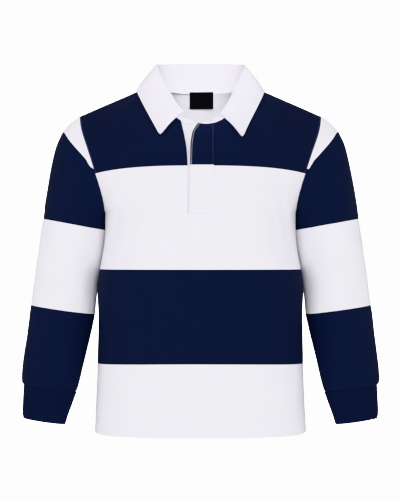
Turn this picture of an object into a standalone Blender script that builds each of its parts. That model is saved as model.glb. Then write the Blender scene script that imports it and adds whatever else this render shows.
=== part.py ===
"""A child's long-sleeved rugby shirt in wide sewn hoops, filled out as if it were worn.

Every piece that is cut and sewn is one closed wall of cloth: the hoops of the front, the back and
the sleeves, the rib cuffs, the collar leaf on its stand, the placket and the tapes in the neck.
The body, the sleeves and the stand are cut from one surface, which the section tables below
describe, and the pieces that lie on it take their points from it, moved out or in.

Sizes are in millimetres and the finished mesh is in metres, +Z up, with the front towards -Y.
The origin is the middle of the neck at the height where the shirt hangs on the shoulders.
"""
import math
from collections import namedtuple

import bpy
import numpy as np

MM = 0.001
SHARP_ANGLE = math.radians(50)
SEAM_GAP = 0.3
SHARPEST_CORNER = 0.3           # limits how far a sharp corner is drawn in
JERSEY_WALL = 1.5
TWILL_WALL = 1.8
TAPE_WALL = 1.0

# ---------------------------------------------------------------- body
# The body's rings: half width, depth in front and behind, and how far back the widest points lie.
# Above the underarm the width is that of the whole chest and shoulders, which the armholes cut.
BodyRing = namedtuple("BodyRing", "height half_width front_depth back_depth middle_y")
BODY = (
    BodyRing(-510, 158.5, 84, 94, -4),
    BodyRing(-444, 155.5, 83, 92, -5),
    BodyRing(-372, 153.0, 82, 90, -6),
    BodyRing(-330, 152.5, 82, 91, -7),
    BodyRing(-291, 154.0, 84, 93, -8),
    BodyRing(-262, 149.5, 85, 95, -8),
    BodyRing(-232, 144.0, 87, 96, -7),
    BodyRing(-206, 142.5, 91, 95, -4),
    BodyRing(-184, 143.0, 96, 93, 0),
    BodyRing(-165, 151.0, 96, 94, 0),
    BodyRing(-143, 162.5, 96, 95, 0),
    BodyRing(-118, 174.5, 96, 95, 0),
    BodyRing(-84, 188.5, 96, 95, 0),
    BodyRing(-57, 197.5, 96, 95, 0),
    BodyRing(-37, 202.2, 96, 95, 0),
    BodyRing(12, 207.0, 96, 95, 0),
)
RING_SQUARENESS = 2.4           # 2 is an ellipse, more is squarer
CHEST_HEIGHT = -190             # above this the cloth rolls in towards the shoulder seam
ROLL = {"front": 1.6, "back": 2.0}

# The largest soft folds: each is a straight trough or ridge, its middle at x and z, leaning by so
# much over its half length. A depth below 0 is a trough.
Fold = namedtuple("Fold", "face x z lean half_length half_width depth")
FOLDS = (
    Fold("front", -112, -212, 6, 68, 17, -3.0),
    Fold("front", 116, -204, -5, 58, 16, -3.4),
    Fold("front", -88, -322, 9, 84, 24, -2.0),
    Fold("front", 74, -338, -12, 96, 26, -2.4),
    Fold("front", 10, -436, 8, 80, 30, 1.6),
    Fold("back", -104, -214, 10, 80, 20, -4.0),
    Fold("back", 98, -232, -8, 92, 22, -4.4),
    Fold("back", -34, -330, 14, 110, 26, -2.6),
    Fold("back", 52, -396, -6, 100, 24, -2.2),
)

# The shoulder seam falls evenly from the neck to the sleeve.
SHOULDER_PEAK = 42.9
SHOULDER_FALL = 0.4375
SHOULDER_ROUND = 15
SHOULDER_TIP = 181.0

# The armhole seam, seen from the front.
ArmholePoint = namedtuple("ArmholePoint", "height half_width")
ARMHOLE = (
    ArmholePoint(-184, 143.0),
    ArmholePoint(-175, 142.7),
    ArmholePoint(-165, 144.0),
    ArmholePoint(-143, 149.0),
    ArmholePoint(-118, 157.0),
    ArmholePoint(-84, 168.3),
    ArmholePoint(-57, 177.3),
    ArmholePoint(-36.6, 181.0),
)
UNDERARM = -184
HEM = -510

# The hoops' edges, and how far each edge sags towards the side seams.
CHEST_EDGE = -114.6
WAIST_EDGE = -265.5
LOW_EDGE = -402.4
CHEST_SAG = 9.8
LOW_SAG = 3.0
LOW_SAG_REACH = 100

# The neckline: how low it lies in the middle, in front and behind, and its half width.
NECK_HALF_WIDTH = 73
NECK_FRONT = -54
NECK_BACK = 5
NECK_FRONT_CURVE = 2.4

# The placket opening: its two edges, and the free edge of the overlap, against the height.
PlacketEdge = namedtuple("PlacketEdge", "height under_edge over_edge")
PLACKET = (
    PlacketEdge(-184, -17.3, -16.7),
    PlacketEdge(-116, -17.3, -15.0),
    PlacketEdge(-97, -18.1, -14.8),
    PlacketEdge(-81, -20.0, -14.0),
    PlacketEdge(-72, -22.0, -12.4),
    PlacketEdge(-63, -24.5, -9.6),
    PlacketEdge(-53, -27.5, -2.0),
    PlacketEdge(-46, -29.5, 1.0),
)
PLACKET_SEAM = 19.4
PLACKET_END = UNDERARM
OVERLAP_LIFT = 1.0
OVERLAP_WALL = 2.2
OVERLAP_CURL = 5.0
UNDERLAP_LIFT = -2.0
UNDERLAP_WALL = 1.2
UNDERLAP_TUCK = 6
UNDERLAP_REACH = 12
UNDERLAP_INSET = 2              # the underlap ends this far above the foot of the placket

# ---------------------------------------------------------------- sleeves
# The sleeve's rings from the armhole to the cuff: the outermost and innermost point of each, seen
# from the front, its half depth and how far behind the shoulder seam its middle lies.
SleeveRing = namedtuple("SleeveRing", "station outer_x outer_z inner_x inner_z half_depth middle_y")
SLEEVE = (
    SleeveRing(0, 181.0, -36.6, 143.0, -184.0, 44, 0.0),
    SleeveRing(1, 195.5, -46.8, 145.0, -186.6, 44, 1.0),
    SleeveRing(2, 207.7, -60.5, 146.0, -190.0, 45, 2.5),
    SleeveRing(3, 215.9, -78.5, 146.0, -194.0, 46, 4.5),
    SleeveRing(4, 222.2, -99.5, 145.4, -197.8, 47, 7.0),
    SleeveRing(5, 230.2, -143.5, 144.5, -202.8, 47, 9.5),
    SleeveRing(6, 237.4, -190.0, 143.6, -207.5, 46, 12.0),
    SleeveRing(7, 244.9, -236.0, 146.4, -250.5, 45, 14.0),
    SleeveRing(8, 250.8, -282.5, 153.6, -293.5, 44, 12.0),
    SleeveRing(9, 255.2, -319.4, 157.9, -333.2, 42, 8.0),
    SleeveRing(10, 261.0, -363.0, 167.0, -373.5, 38, 3.0),
    SleeveRing(11, 265.8, -403.7, 176.4, -413.7, 34, -1.0),
    SleeveRing(12, 268.3, -433.0, 184.0, -445.5, 31, -4.0),
)
CUFF_TOP = SleeveRing(13, 264.2, -438.0, 187.2, -449.6, 27, -5.0)
CUFF = (
    CUFF_TOP,
    SleeveRing(14, 265.0, -461.0, 194.0, -471.6, 23, -6.0),
    SleeveRing(15, 265.9, -482.0, 200.0, -491.8, 20, -7.5),
    SleeveRing(16, 264.4, -487.0, 202.2, -496.2, 18, -7.7),
)
# The sleeve's largest folds, by station and by turn round the ring from its outermost point.
SleeveFold = namedtuple("SleeveFold", "station turn half_run half_turn depth")
SLEEVE_FOLDS = (
    SleeveFold(4.6, 118, 1.3, 26, -3.0),
    SleeveFold(7.3, 146, 0.9, 30, -3.4),
    SleeveFold(8.6, 62, 1.0, 28, -2.2),
    SleeveFold(7.9, 222, 1.0, 30, -3.0),
    SleeveFold(10.6, 128, 0.9, 34, -2.4),
    SleeveFold(11.3, 236, 0.7, 36, 2.0),
)
CAP_EDGE = 2.0                  # station of the cap stripe's edge on top of the sleeve
CAP_EDGE_CURVE = 2.7            # how the edge runs back to the armhole
CAP_BLUNT = 0.2                 # the stripe's ends stop this share of a column short of the notch
UPPER_EDGE = 6
ELBOW_EDGE = 9
FORE_EDGE = 12
RIBS = 56
RIB_HEIGHT = 0.5

# ---------------------------------------------------------------- collar
# The roll line, where the collar turns over, from the middle of the back to the front end.
RollPoint = namedtuple("RollPoint", "share x y z")
ROLL_LINE = (
    RollPoint(0.00, 0.0, 54, 49.0),
    RollPoint(0.13, 30.0, 50, 48.5),
    RollPoint(0.26, 54.0, 36, 46.0),
    RollPoint(0.38, 67.0, 12, 43.0),
    RollPoint(0.46, 65.0, -4, 37.0),
    RollPoint(0.60, 57.5, -19, 20.0),
    RollPoint(0.73, 47.0, -35, 0.0),
    RollPoint(0.87, 35.5, -49, -20.5),
    RollPoint(1.00, 24.5, -60, -34.0),
)
# The leaf's free edge, from the middle of the back to the shoulder seam; from there it runs
# straight to the collar point.
LeafEdge = namedtuple("LeafEdge", "share x z")
LEAF_BACK = (
    LeafEdge(0.00, 0.0, -12.5),
    LeafEdge(0.13, 34.0, -12.5),
    LeafEdge(0.26, 63.0, -11.5),
    LeafEdge(0.38, 87.0, -5.5),
    LeafEdge(0.46, 95.8, -0.5),
)
LEAF_POINT = (60.8, -71.8)
LEAF_LIFT = 3.5
LEAF_SHOULDER_LIFT = 4.4        # more where the leaf crosses the shoulder seam
LEAF_SEAM_REACH = 0.08
LEAF_BULGE = 2.5
BULGE_LEAN = (0, 0, 0.6)
LEAF_ROWS = 3
RIGHT_EASE = (5.0, -4.0)        # the right end is sewn further out and lower, over the placket
ROLL_DROP = 4.0                 # the stand ends this far below the roll line
ROLL_RADIUS = 3.6
ROLL_FLATNESS = 0.7
FOLD_INSET = (1.2, 1.0)         # the leaf's first row beside the roll line: inwards and down
LEAST_STAND = 0.3               # share of the way to the roll line that the stand keeps
BAND_RISE = 7.5                 # the neckband beyond the collar's ends
BAND_SETBACK = 1.5
BAND_TAPER = 0.45
BAND_LEAN = 0.25
OVER_BAND = (18.9, 0.0, 0.5)    # start, tip and lift of the band's end on the overlap
UNDER_BAND = (-22.0, -9.0, -2.0)

# ---------------------------------------------------------------- neck tapes
LINING_GAP = 0.8
FACING_TOP = 0.1                # in rows of the yoke
FACING_ROWS = 3.2
LABEL_SIZE = (36.5, 26.5)
ROWS_PER_MM = 0.03
COLUMNS_PER_MM = 0.04
LABEL_TOP = 2.5
LABEL_MIDDLE = 2.0

# ---------------------------------------------------------------- mesh density
SHOULDER_COLUMNS = 4
NECK_COLUMNS = 5
PLACKET_COLUMNS = 2
YOKE_ROWS = 6
ARMHOLE_ROWS = 6
ROWS_DRAWN_DOWN = 0.55          # 0 spaces the rows evenly down the armhole
HOOP_ROWS = {"chest": 4, "waist": 6, "low": 5}
SLEEVE_ROWS = {"cap": 2, "upper": 5, "elbow": 4, "fore": 4}
SIDE_COLUMNS = SHOULDER_COLUMNS + NECK_COLUMNS
TRIM_COLUMNS = 4
OVERLAP_ROWS = 6
UNDERLAP_ROWS = 8
LABEL_ROWS = 3
SETTLE_STEPS = 12

Cloth = namedtuple("Cloth", "name colour roughness")
NAVY_JERSEY = Cloth("navy_jersey", (0.005, 0.010, 0.045), 0.85)
WHITE_JERSEY = Cloth("white_jersey", (0.86, 0.85, 0.88), 0.85)
WHITE_TWILL = Cloth("white_twill", (0.88, 0.87, 0.90), 0.8)
NAVY_RIB = Cloth("navy_rib", (0.006, 0.011, 0.046), 0.9)
BLACK_TAPE = Cloth("black_tape", (0.01, 0.01, 0.01), 0.6)


# ---------------------------------------------------------------- curves
def curve(table, along, value):
    """The smooth function through one column of a table, read against another column."""
    rows = sorted((getattr(row, along), getattr(row, value)) for row in table)
    place, height = np.array(rows, dtype=float).T
    steps = np.diff(height) / np.diff(place)
    spans = np.diff(place)
    middle = (steps[:-1] * spans[1:] + steps[1:] * spans[:-1]) / (spans[:-1] + spans[1:])
    slopes = np.concatenate(([steps[0]], middle, [steps[-1]]))

    def at(where):
        where = min(max(where, place[0]), place[-1])
        i = min(int(np.searchsorted(place, where, side="right")) - 1, len(spans) - 1)
        t = (where - place[i]) / spans[i]
        rise = slopes[i] * spans[i]
        fall = slopes[i + 1] * spans[i]
        change = height[i + 1] - height[i]
        return height[i] + t * rise + t * t * (3 * change - 2 * rise - fall) \
            + t ** 3 * (rise + fall - 2 * change)
    return at


def mix(start, end, share):
    return start + (end - start) * share


def unit(vector):
    return vector / max(np.linalg.norm(vector), 1e-9)


def smooth_step(share):
    share = min(max(share, 0.0), 1.0)
    return share * share * (3 - 2 * share)


half_width = curve(BODY, "height", "half_width")
DEPTH = {"front": curve(BODY, "height", "front_depth"), "back": curve(BODY, "height", "back_depth")}
FACING = {"front": -1, "back": 1}
middle_y = curve(BODY, "height", "middle_y")
armhole_x = curve(ARMHOLE, "height", "half_width")
under_edge = curve(PLACKET, "height", "under_edge")
over_edge = curve(PLACKET, "height", "over_edge")


# ---------------------------------------------------------------- body surface
def shoulder_height(x):
    return SHOULDER_PEAK - SHOULDER_FALL * math.hypot(x, SHOULDER_ROUND)


def roll_over(x, z):
    """How far up its last stretch to the shoulder seam the cloth is, from 0 to 1."""
    rise = (z - CHEST_HEIGHT) / (shoulder_height(x) - CHEST_HEIGHT)
    return min(max(rise, 0.0), 1.0)


def ring_depth(x, z, face):
    """The body ring's depth at x, before the roll to the shoulder seam."""
    spread = min(abs(x) / half_width(z), 1.0)
    return DEPTH[face](z) * (1 - spread ** RING_SQUARENESS) ** (1 / RING_SQUARENESS)


def fold_height(x, z, face):
    """How far the folds lift the cloth, nothing at the side seams."""
    lift = 0.0
    for fold in FOLDS:
        along = (z - fold.z) / fold.half_length
        across = (x - fold.x - fold.lean * along) / fold.half_width
        if fold.face == face and abs(along) < 1:
            lift += fold.depth * (1 - along * along) ** 2 * math.exp(-across * across)
    spread = min(abs(x) / half_width(z), 1.0)
    return lift * (1 - spread ** RING_SQUARENESS)


def body_depth(x, z, face):
    """Where the cloth lies, from front to back."""
    over = (1 - roll_over(x, z) ** ROLL[face]) ** (1 / ROLL[face])
    return middle_y(z) + FACING[face] * (ring_depth(x, z, face) + fold_height(x, z, face)) * over


def gauge(point, face):
    """1 on the body's surface, more outside it."""
    x, y, z = point
    across = abs(y - middle_y(z)) / max(ring_depth(x, z, face), 0.1)
    return across ** ROLL[face] + roll_over(x, z) ** ROLL[face]


def on_body(x, z, face, lift=0.0):
    """The point of the body's surface at x and z, moved out by a lift along its normal."""
    point = np.array([x, body_depth(x, z, face), z])
    steps = np.eye(3) * 0.5
    slope = np.array([gauge(point + step, face) - gauge(point - step, face) for step in steps])
    return point + lift * unit(slope)


def neckline_height(x, face):
    reach = abs(x) / NECK_HALF_WIDTH
    top = shoulder_height(NECK_HALF_WIDTH)
    if face == "front":
        return mix(NECK_FRONT, top, reach ** NECK_FRONT_CURVE)
    return mix(NECK_BACK, top, reach ** 2)


def side_reach(z):
    """Half width of the cloth at a height: the armhole's, or the body's below the underarm."""
    return armhole_x(z) if z > UNDERARM else half_width(z)


def columns(z):
    """The x of each column across the body at a height, from the left side to the right one."""
    power = RING_SQUARENESS / 2
    width = half_width(z)
    outer = math.asin(min(side_reach(z) / width, 1.0) ** power)
    inner_left = math.asin((-under_edge(z) / width) ** power)
    inner_right = math.asin((PLACKET_SEAM / width) ** power)
    shares = np.linspace(0, 1, SIDE_COLUMNS + 1)
    left = [-width * math.sin(mix(outer, inner_left, s)) ** (1 / power) for s in shares]
    right = [width * math.sin(mix(outer, inner_right, s)) ** (1 / power) for s in shares]
    middle = list(np.linspace(left[-1], right[-1], PLACKET_COLUMNS + 1))[1:-1]
    return left + middle + right[::-1]


def edge_sag(share, level):
    """How far a level line of the cloth hangs at a share of the way out to the side."""
    chest = (level - UNDERARM) / (CHEST_EDGE - UNDERARM)
    low = 1 - abs(level - LOW_EDGE) / LOW_SAG_REACH
    return -CHEST_SAG * share ** 3 * max(chest, 0) - LOW_SAG * share ** 2 * max(low, 0)


def body_row(level, face):
    """One row of points across the body, level but for the sag."""
    row = []
    for i, x in enumerate(columns(level)):
        z = level + edge_sag(abs(x) / side_reach(level), level)
        x = columns(z)[i]
        row.append([x, body_depth(x, z, face), z])
    return np.array(row)


def yoke_tops(face):
    """The x and z of each column's top: on the shoulder seam, and then on the neckline."""
    left_inner = -under_edge(neckline_height(under_edge(NECK_FRONT), "front"))
    tops = []
    for inner in (left_inner, PLACKET_SEAM):
        shoulder = np.linspace(SHOULDER_TIP, NECK_HALF_WIDTH, SHOULDER_COLUMNS + 1)
        neck = np.linspace(NECK_HALF_WIDTH, inner, NECK_COLUMNS + 1)[1:]
        tops.append(list(shoulder) + list(neck))
    left = [-x for x in tops[0]]
    middle = list(np.linspace(left[-1], PLACKET_SEAM, PLACKET_COLUMNS + 1))[1:-1]
    across = left + middle + tops[1][::-1]
    heights = [shoulder_height(x) if abs(x) > NECK_HALF_WIDTH - 0.01 else neckline_height(x, face)
               for x in across]
    return across, heights


def inner_edges(z):
    """The two edges of the placket opening, between which the middle columns run."""
    return under_edge(z), PLACKET_SEAM


def yoke_grid(face):
    """Rows of points from the shoulder seam and neckline down to the chest hoop."""
    bottom = body_row(CHEST_EDGE, face)
    tops, heights = yoke_tops(face)
    count = len(tops)
    grid = np.zeros((YOKE_ROWS + 1, count, 3))
    for c in range(count):
        start = (bottom[c][2] - CHEST_HEIGHT) / (shoulder_height(bottom[c][0]) - CHEST_HEIGHT)
        end = (heights[c] - CHEST_HEIGHT) / (shoulder_height(tops[c]) - CHEST_HEIGHT)
        start_share = share_across(c, bottom[c][0], bottom[c][2])
        end_share = share_across(c, tops[c], heights[c])
        for r in range(YOKE_ROWS + 1):
            up = 1 - r / YOKE_ROWS
            rise = math.sin(mix(math.asin(start), math.asin(min(end, 1.0)), up))
            share = mix(start_share, end_share, up)
            z = mix(bottom[c][2], heights[c], up)
            for _ in range(SETTLE_STEPS):
                x = place_across(c, share, z)
                z = mix(CHEST_HEIGHT, shoulder_height(x), rise)
            grid[r, c] = (x, body_depth(x, z, face), z)
    grid[-1] = bottom
    return grid


def share_across(column, x, z):
    """Where a column lies between the placket's edge and the armhole."""
    low, high = inner_edges(z)
    if column <= SIDE_COLUMNS:
        return (low - x) / (low + side_reach(z))
    if column >= SIDE_COLUMNS + PLACKET_COLUMNS:
        return (x - high) / (side_reach(z) - high)
    return (x - low) / (high - low)


def place_across(column, share, z):
    low, high = inner_edges(z)
    if column <= SIDE_COLUMNS:
        return low - share * (low + side_reach(z))
    if column >= SIDE_COLUMNS + PLACKET_COLUMNS:
        return high + share * (side_reach(z) - high)
    return mix(low, high, share)


def hoop_levels():
    """The rows below the yoke, piece by piece, closer together round the foot of the armhole."""
    shares = np.linspace(0, 1, ARMHOLE_ROWS + 1)
    chest = [mix(CHEST_EDGE, UNDERARM, mix(s, math.sin(s * math.pi / 2), ROWS_DRAWN_DOWN))
             for s in shares]
    chest += list(np.linspace(UNDERARM, WAIST_EDGE, HOOP_ROWS["chest"] + 1))[1:]
    waist = list(np.linspace(WAIST_EDGE, LOW_EDGE, HOOP_ROWS["waist"] + 1))
    low = list(np.linspace(LOW_EDGE, HEM, HOOP_ROWS["low"] + 1))
    return {"chest": chest, "waist": waist, "low": low}


def hoop_grid(levels, face):
    return np.array([body_row(level, face) for level in levels])


# ---------------------------------------------------------------- sleeve surface
def ring_reader(table):
    """Functions that give a ring's middle, half width, direction across and half depth."""
    reads = {name: curve(table, "station", name) for name in SleeveRing._fields[1:]}

    def ring(station):
        outer = np.array([reads["outer_x"](station), reads["outer_z"](station)])
        inner = np.array([reads["inner_x"](station), reads["inner_z"](station)])
        middle = (outer + inner) / 2
        across = (outer - inner) / 2
        return middle, across, reads["half_depth"](station), reads["middle_y"](station)
    return ring


def sleeve_fold_height(station, turn):
    lift = 0.0
    for fold in SLEEVE_FOLDS:
        along = (station - fold.station) / fold.half_run
        across = (math.degrees(turn) % 360 - fold.turn) / fold.half_turn
        lift += fold.depth * math.exp(-along * along - across * across)
    return lift


def ring_point(ring, station, turn):
    """A point of a right-hand ring; a turn of 0 is outermost and a quarter turn is in front."""
    middle, across, half_depth, back = ring(station)
    lift = sleeve_fold_height(station, turn)
    flat = middle + (across + lift * unit(across)) * math.cos(turn)
    return np.array([flat[0], back - (half_depth + lift) * math.sin(turn), flat[1]])


sleeve_ring = ring_reader(SLEEVE + (CUFF_TOP,))
cuff_ring = ring_reader(CUFF)


def armhole_loop(front, back):
    """The armhole's points from the shoulder tip down the front and up the back, right-hand."""
    return np.array(list(front) + list(back[-2:0:-1]))


def armhole_turns(loop):
    """The turn round the first sleeve ring that lies level with each armhole point."""
    middle, across, _, _ = sleeve_ring(0)
    turns = []
    for i, (x, _, z) in enumerate(loop):
        along = ((x - middle[0]) * across[0] + (z - middle[1]) * across[1]) / (across @ across)
        turn = math.acos(min(max(along, -1.0), 1.0))
        turns.append(turn if i <= len(loop) // 2 else 2 * math.pi - turn)
    return turns


def sleeve_point(loop, turns, column, station):
    """A point of the sleeve: the ring's own, drawn to the armhole where the cap is sewn in."""
    count = len(loop)
    even = 2 * math.pi * column / count
    settle = smooth_step(station / UPPER_EDGE)
    turn = mix(turns[column], even, settle)
    sewn = loop[column] - ring_point(sleeve_ring, 0, turns[column])
    hold = max(1 - station / UPPER_EDGE, 0.0) ** 2
    return ring_point(sleeve_ring, station, turn) + sewn * hold


def cap_edge(turn, notch):
    """The station at which the cap stripe ends, down to nothing at the armhole's notches."""
    turn = min(turn, 2 * math.pi - turn)
    return CAP_EDGE * max(1 - (turn / notch) ** CAP_EDGE_CURVE, 0.0)


def sleeve_grids(loop):
    """The four hoops of a right-hand sleeve, as grids with a column for each armhole point."""
    turns = armhole_turns(loop)
    notch = turns[YOKE_ROWS]
    count = len(loop)
    cap_columns = list(range(count - YOKE_ROWS, count)) + list(range(YOKE_ROWS + 1))
    starts = [cap_edge(turns[c], notch) for c in range(count)]
    starts[YOKE_ROWS] = starts[count - YOKE_ROWS] = 0.0

    def strip(columns_used, begin, end, rows):
        shares = np.linspace(0, 1, rows + 1)
        return np.array([[sleeve_point(loop, turns, c, mix(begin[c], end[c], s))
                          for c in columns_used] for s in shares])

    cap = strip(cap_columns, [0] * count, starts, SLEEVE_ROWS["cap"])
    everywhere = list(range(count))
    upper, elbow, fore = ([station] * count for station in (UPPER_EDGE, ELBOW_EDGE, FORE_EDGE))
    fore_grid = strip(everywhere, elbow, fore, SLEEVE_ROWS["fore"])
    gathered = [[ring_point(cuff_ring, CUFF_TOP.station, 2 * math.pi * c / count) for c in everywhere]]
    return {
        "cap_white": cap,
        "upper_navy": strip(everywhere, starts, upper, SLEEVE_ROWS["upper"]),
        "elbow_white": strip(everywhere, upper, elbow, SLEEVE_ROWS["elbow"]),
        "fore_navy": np.concatenate([fore_grid, gathered]),
    }


def cuff_grid():
    """The cuff's rows, with a ridge and a valley for each rib."""
    count = 2 * RIBS
    turns = [2 * math.pi * c / count for c in range(count)]
    grid = [[ring_point(cuff_ring, ring.station, turn) for turn in turns] for ring in CUFF]
    ridges = np.array([[RIB_HEIGHT * (c % 2) for c in range(count)] for _ in CUFF])
    return np.array(grid), ridges


# ---------------------------------------------------------------- collar surface
roll_x, roll_y, roll_z = (curve(ROLL_LINE, "share", name) for name in "xyz")
leaf_x = curve(LEAF_BACK, "share", "x")
leaf_z = curve(LEAF_BACK, "share", "z")
SHOULDER_SHARE = LEAF_BACK[-1].share


def side_ease(share, side):
    """How the collar's right end is carried outwards and down."""
    if side < 0:
        return np.zeros(3)
    return np.array([RIGHT_EASE[0], 0.0, RIGHT_EASE[1]]) * share ** 3


def roll_point(share, side):
    point = np.array([roll_x(share), roll_y(share), roll_z(share)]) + side_ease(share, side)
    return point * (side, 1, 1)


def leaf_edge_point(share, side):
    """A point of the leaf's free edge, resting just clear of the shirt."""
    if share <= SHOULDER_SHARE:
        x, z, face = leaf_x(share), leaf_z(share), "back"
    else:
        down = (share - SHOULDER_SHARE) / (1 - SHOULDER_SHARE)
        ease = side_ease(share, side)
        x = mix(leaf_x(1.0), LEAF_POINT[0], down) + ease[0]
        z = mix(leaf_z(1.0), LEAF_POINT[1], down) + ease[2]
        face = "front"
    crossing = math.exp(-((share - SHOULDER_SHARE) / LEAF_SEAM_REACH) ** 2)
    return on_body(x, z, face, LEAF_LIFT + LEAF_SHOULDER_LIFT * crossing) * (side, 1, 1)


def neck_shares(loop):
    """Each neckline point's share of the way from the back to the leaf's end, and its side.

    On the right the leaf ends one column before the placket seam, so the last share is over 1.
    """
    steps = np.linalg.norm(np.diff(loop, axis=0), axis=1)
    along = np.concatenate(([0.0], np.cumsum(steps)))
    behind = slice(NECK_COLUMNS, len(loop) - NECK_COLUMNS)
    middle = np.interp(0.0, [p[0] for p in loop[behind]], along[behind])
    ends = {-1: along[0], 1: along[-2]}
    sides = [1 if place > middle else -1 for place in along]
    return [(abs(place - middle) / abs(ends[side] - middle), side) for place, side in zip(along, sides)]


def stand_top(point, share, side):
    """The top of the stand above a neckline point: just below the roll, or the band's edge."""
    if share > 1:
        return point + np.array([0.0, BAND_SETBACK, BAND_RISE])
    roll = roll_point(share, side)
    rise = roll - point
    return point + rise * max(1 - ROLL_DROP / np.linalg.norm(rise), LEAST_STAND)


def stand_grid(loop, shares):
    rows = (0, 0.5, 1)
    tops = [stand_top(p, s, side) for p, (s, side) in zip(loop, shares)]
    return np.array([[mix(p, top, row) for p, top in zip(loop, tops)] for row in rows])


def doubled(stations):
    """The stand's stations with one more half way between each two."""
    more = [stations[0]]
    for before, after in zip(stations, stations[1:]):
        side = after[2] if before[2] == after[2] or after[1] > before[1] else before[2]
        share = (before[1] + after[1]) / 2 if before[2] == after[2] else abs(before[1] - after[1]) / 2
        more.append((mix(before[0], after[0], 0.5), share, side, mix(before[3], after[3], 0.5)))
        more.append(after)
    return more


def leaf_grid(loop, shares):
    """The leaf over the stand: up from the stand's edge, over the roll and down to its free edge."""
    kept = [(p, s, side, stand_top(p, s, side)) for p, (s, side) in zip(loop, shares) if s <= 1]
    kept = doubled(kept)
    rolls = [roll_point(share, side) for _, share, side, _ in kept]
    grid = []
    for i, (point, share, side, foot) in enumerate(kept):
        along = unit(rolls[min(i + 1, len(kept) - 1)] - rolls[max(i - 1, 0)])
        up = unit(rolls[i] - point)
        out = unit(np.cross(up, along))
        inside = rolls[i] - out * FOLD_INSET[0] - up * FOLD_INSET[1]
        turned = rolls[i] + out * ROLL_RADIUS - up * ROLL_RADIUS * ROLL_FLATNESS
        edge = leaf_edge_point(share, side)
        column = [foot - out * JERSEY_WALL + up * SEAM_GAP, inside, rolls[i], turned]
        for down in np.linspace(0, 1, LEAF_ROWS + 1)[1:]:
            bulge = LEAF_BULGE * 4 * down * (1 - down)
            column.append(mix(turned, edge, down) + bulge * unit(out + BULGE_LEAN))
        grid.append(column)
    return np.array(grid).transpose(1, 0, 2)


# ---------------------------------------------------------------- placket and tapes
def overlap_grid(top, end):
    """The placket's overlap between two levels; None at the top is the neckline."""
    grid = []
    for v in np.linspace(0, 1, OVERLAP_ROWS + 1):
        edge_z = mix(NECK_FRONT if top is None else top, end, v)
        row = []
        for c in np.linspace(0, 1, TRIM_COLUMNS + 1):
            x = mix(over_edge(edge_z), PLACKET_SEAM, c)
            z = mix(neckline_height(x, "front") if top is None else top, end, v)
            curl = OVERLAP_CURL * (1 - c) ** 2 * (1 - v) ** 2 if top is None else 0.0
            row.append(on_body(x, z, "front", OVERLAP_LIFT + curl))
        grid.append(row)
    return np.array(grid)


def underlap_grid():
    grid = []
    for v in np.linspace(0, 1, UNDERLAP_ROWS + 1):
        edge_z = mix(NECK_FRONT, PLACKET_END + UNDERLAP_INSET, v)
        row = []
        for c in np.linspace(0, 1, TRIM_COLUMNS + 1):
            x = mix(under_edge(edge_z) - UNDERLAP_TUCK, UNDERLAP_REACH, c)
            z = mix(neckline_height(x, "front") - SEAM_GAP, PLACKET_END + UNDERLAP_INSET, v)
            row.append(on_body(x, z, "front", UNDERLAP_LIFT))
        grid.append(row)
    return np.array(grid)


def band_end_grid(start, end, lift):
    """A short end of the neckband on the neckline between two widths, narrowing to its tip."""
    grid = []
    for up in (1, 0.5, 0):
        row = []
        for c in np.linspace(0, 1, TRIM_COLUMNS + 1):
            x = mix(start, end, c)
            foot = on_body(x, neckline_height(x, "front"), "front", lift)
            rise = BAND_RISE * (1 - BAND_TAPER * c * c)
            row.append(foot + np.array([0, BAND_LEAN * up * rise, SEAM_GAP + up * rise]))
        grid.append(row)
    return np.array(grid)


def sample(grid, row, column):
    """A point of a grid at a fractional row and column."""
    r = min(int(row), len(grid) - 2)
    c = min(int(column), len(grid[0]) - 2)
    upper = mix(grid[r, c], grid[r, c + 1], column - c)
    lower = mix(grid[r + 1, c], grid[r + 1, c + 1], column - c)
    return mix(upper, lower, row - r)


def lining_grid(yoke, lift):
    """The back yoke's own points between the shoulder seams, moved in from its outer side."""
    normals = piece_normals([Piece("", None, yoke)])
    moved = np.array([[p + lift * normals[point_key(p)] for p in row] for row in yoke])
    return moved[:, SHOULDER_COLUMNS:len(yoke[0]) - SHOULDER_COLUMNS]


def facing_grid(yoke):
    """The half moon of twill inside the back of the neck."""
    lining = lining_grid(yoke, -JERSEY_WALL - LINING_GAP)
    last = len(lining[0]) - 1
    span = range(1, last)
    deep = [FACING_ROWS * math.sqrt(1 - (2 * c / last - 1) ** 2) for c in span]
    return np.array([[sample(lining, FACING_TOP + v * row, c) for c, row in zip(span, deep)]
                     for v in np.linspace(0, 1, TRIM_COLUMNS + 1)])


def label_grid(yoke):
    """The woven label's place on the facing."""
    lining = lining_grid(yoke, -JERSEY_WALL - 2 * LINING_GAP - TAPE_WALL)
    width, height = LABEL_SIZE
    grid = []
    for v in np.linspace(0, 1, LABEL_ROWS + 1):
        across = LABEL_MIDDLE + width * np.linspace(-0.5, 0.5, TRIM_COLUMNS + 1)
        grid.append([lining_at(lining, x, LABEL_TOP - height * v) for x in across])
    return np.array(grid)


def lining_at(lining, x, z):
    """The lining's point at x and z, found by stepping over its rows and columns."""
    row, column = 1.0, (len(lining[0]) - 1) / 2
    for _ in range(3 * SETTLE_STEPS):
        point = sample(lining, row, column)
        row = max(row + ROWS_PER_MM * (point[2] - z), 0.0)
        column += COLUMNS_PER_MM * (x - point[0])
    return sample(lining, row, column)


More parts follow.
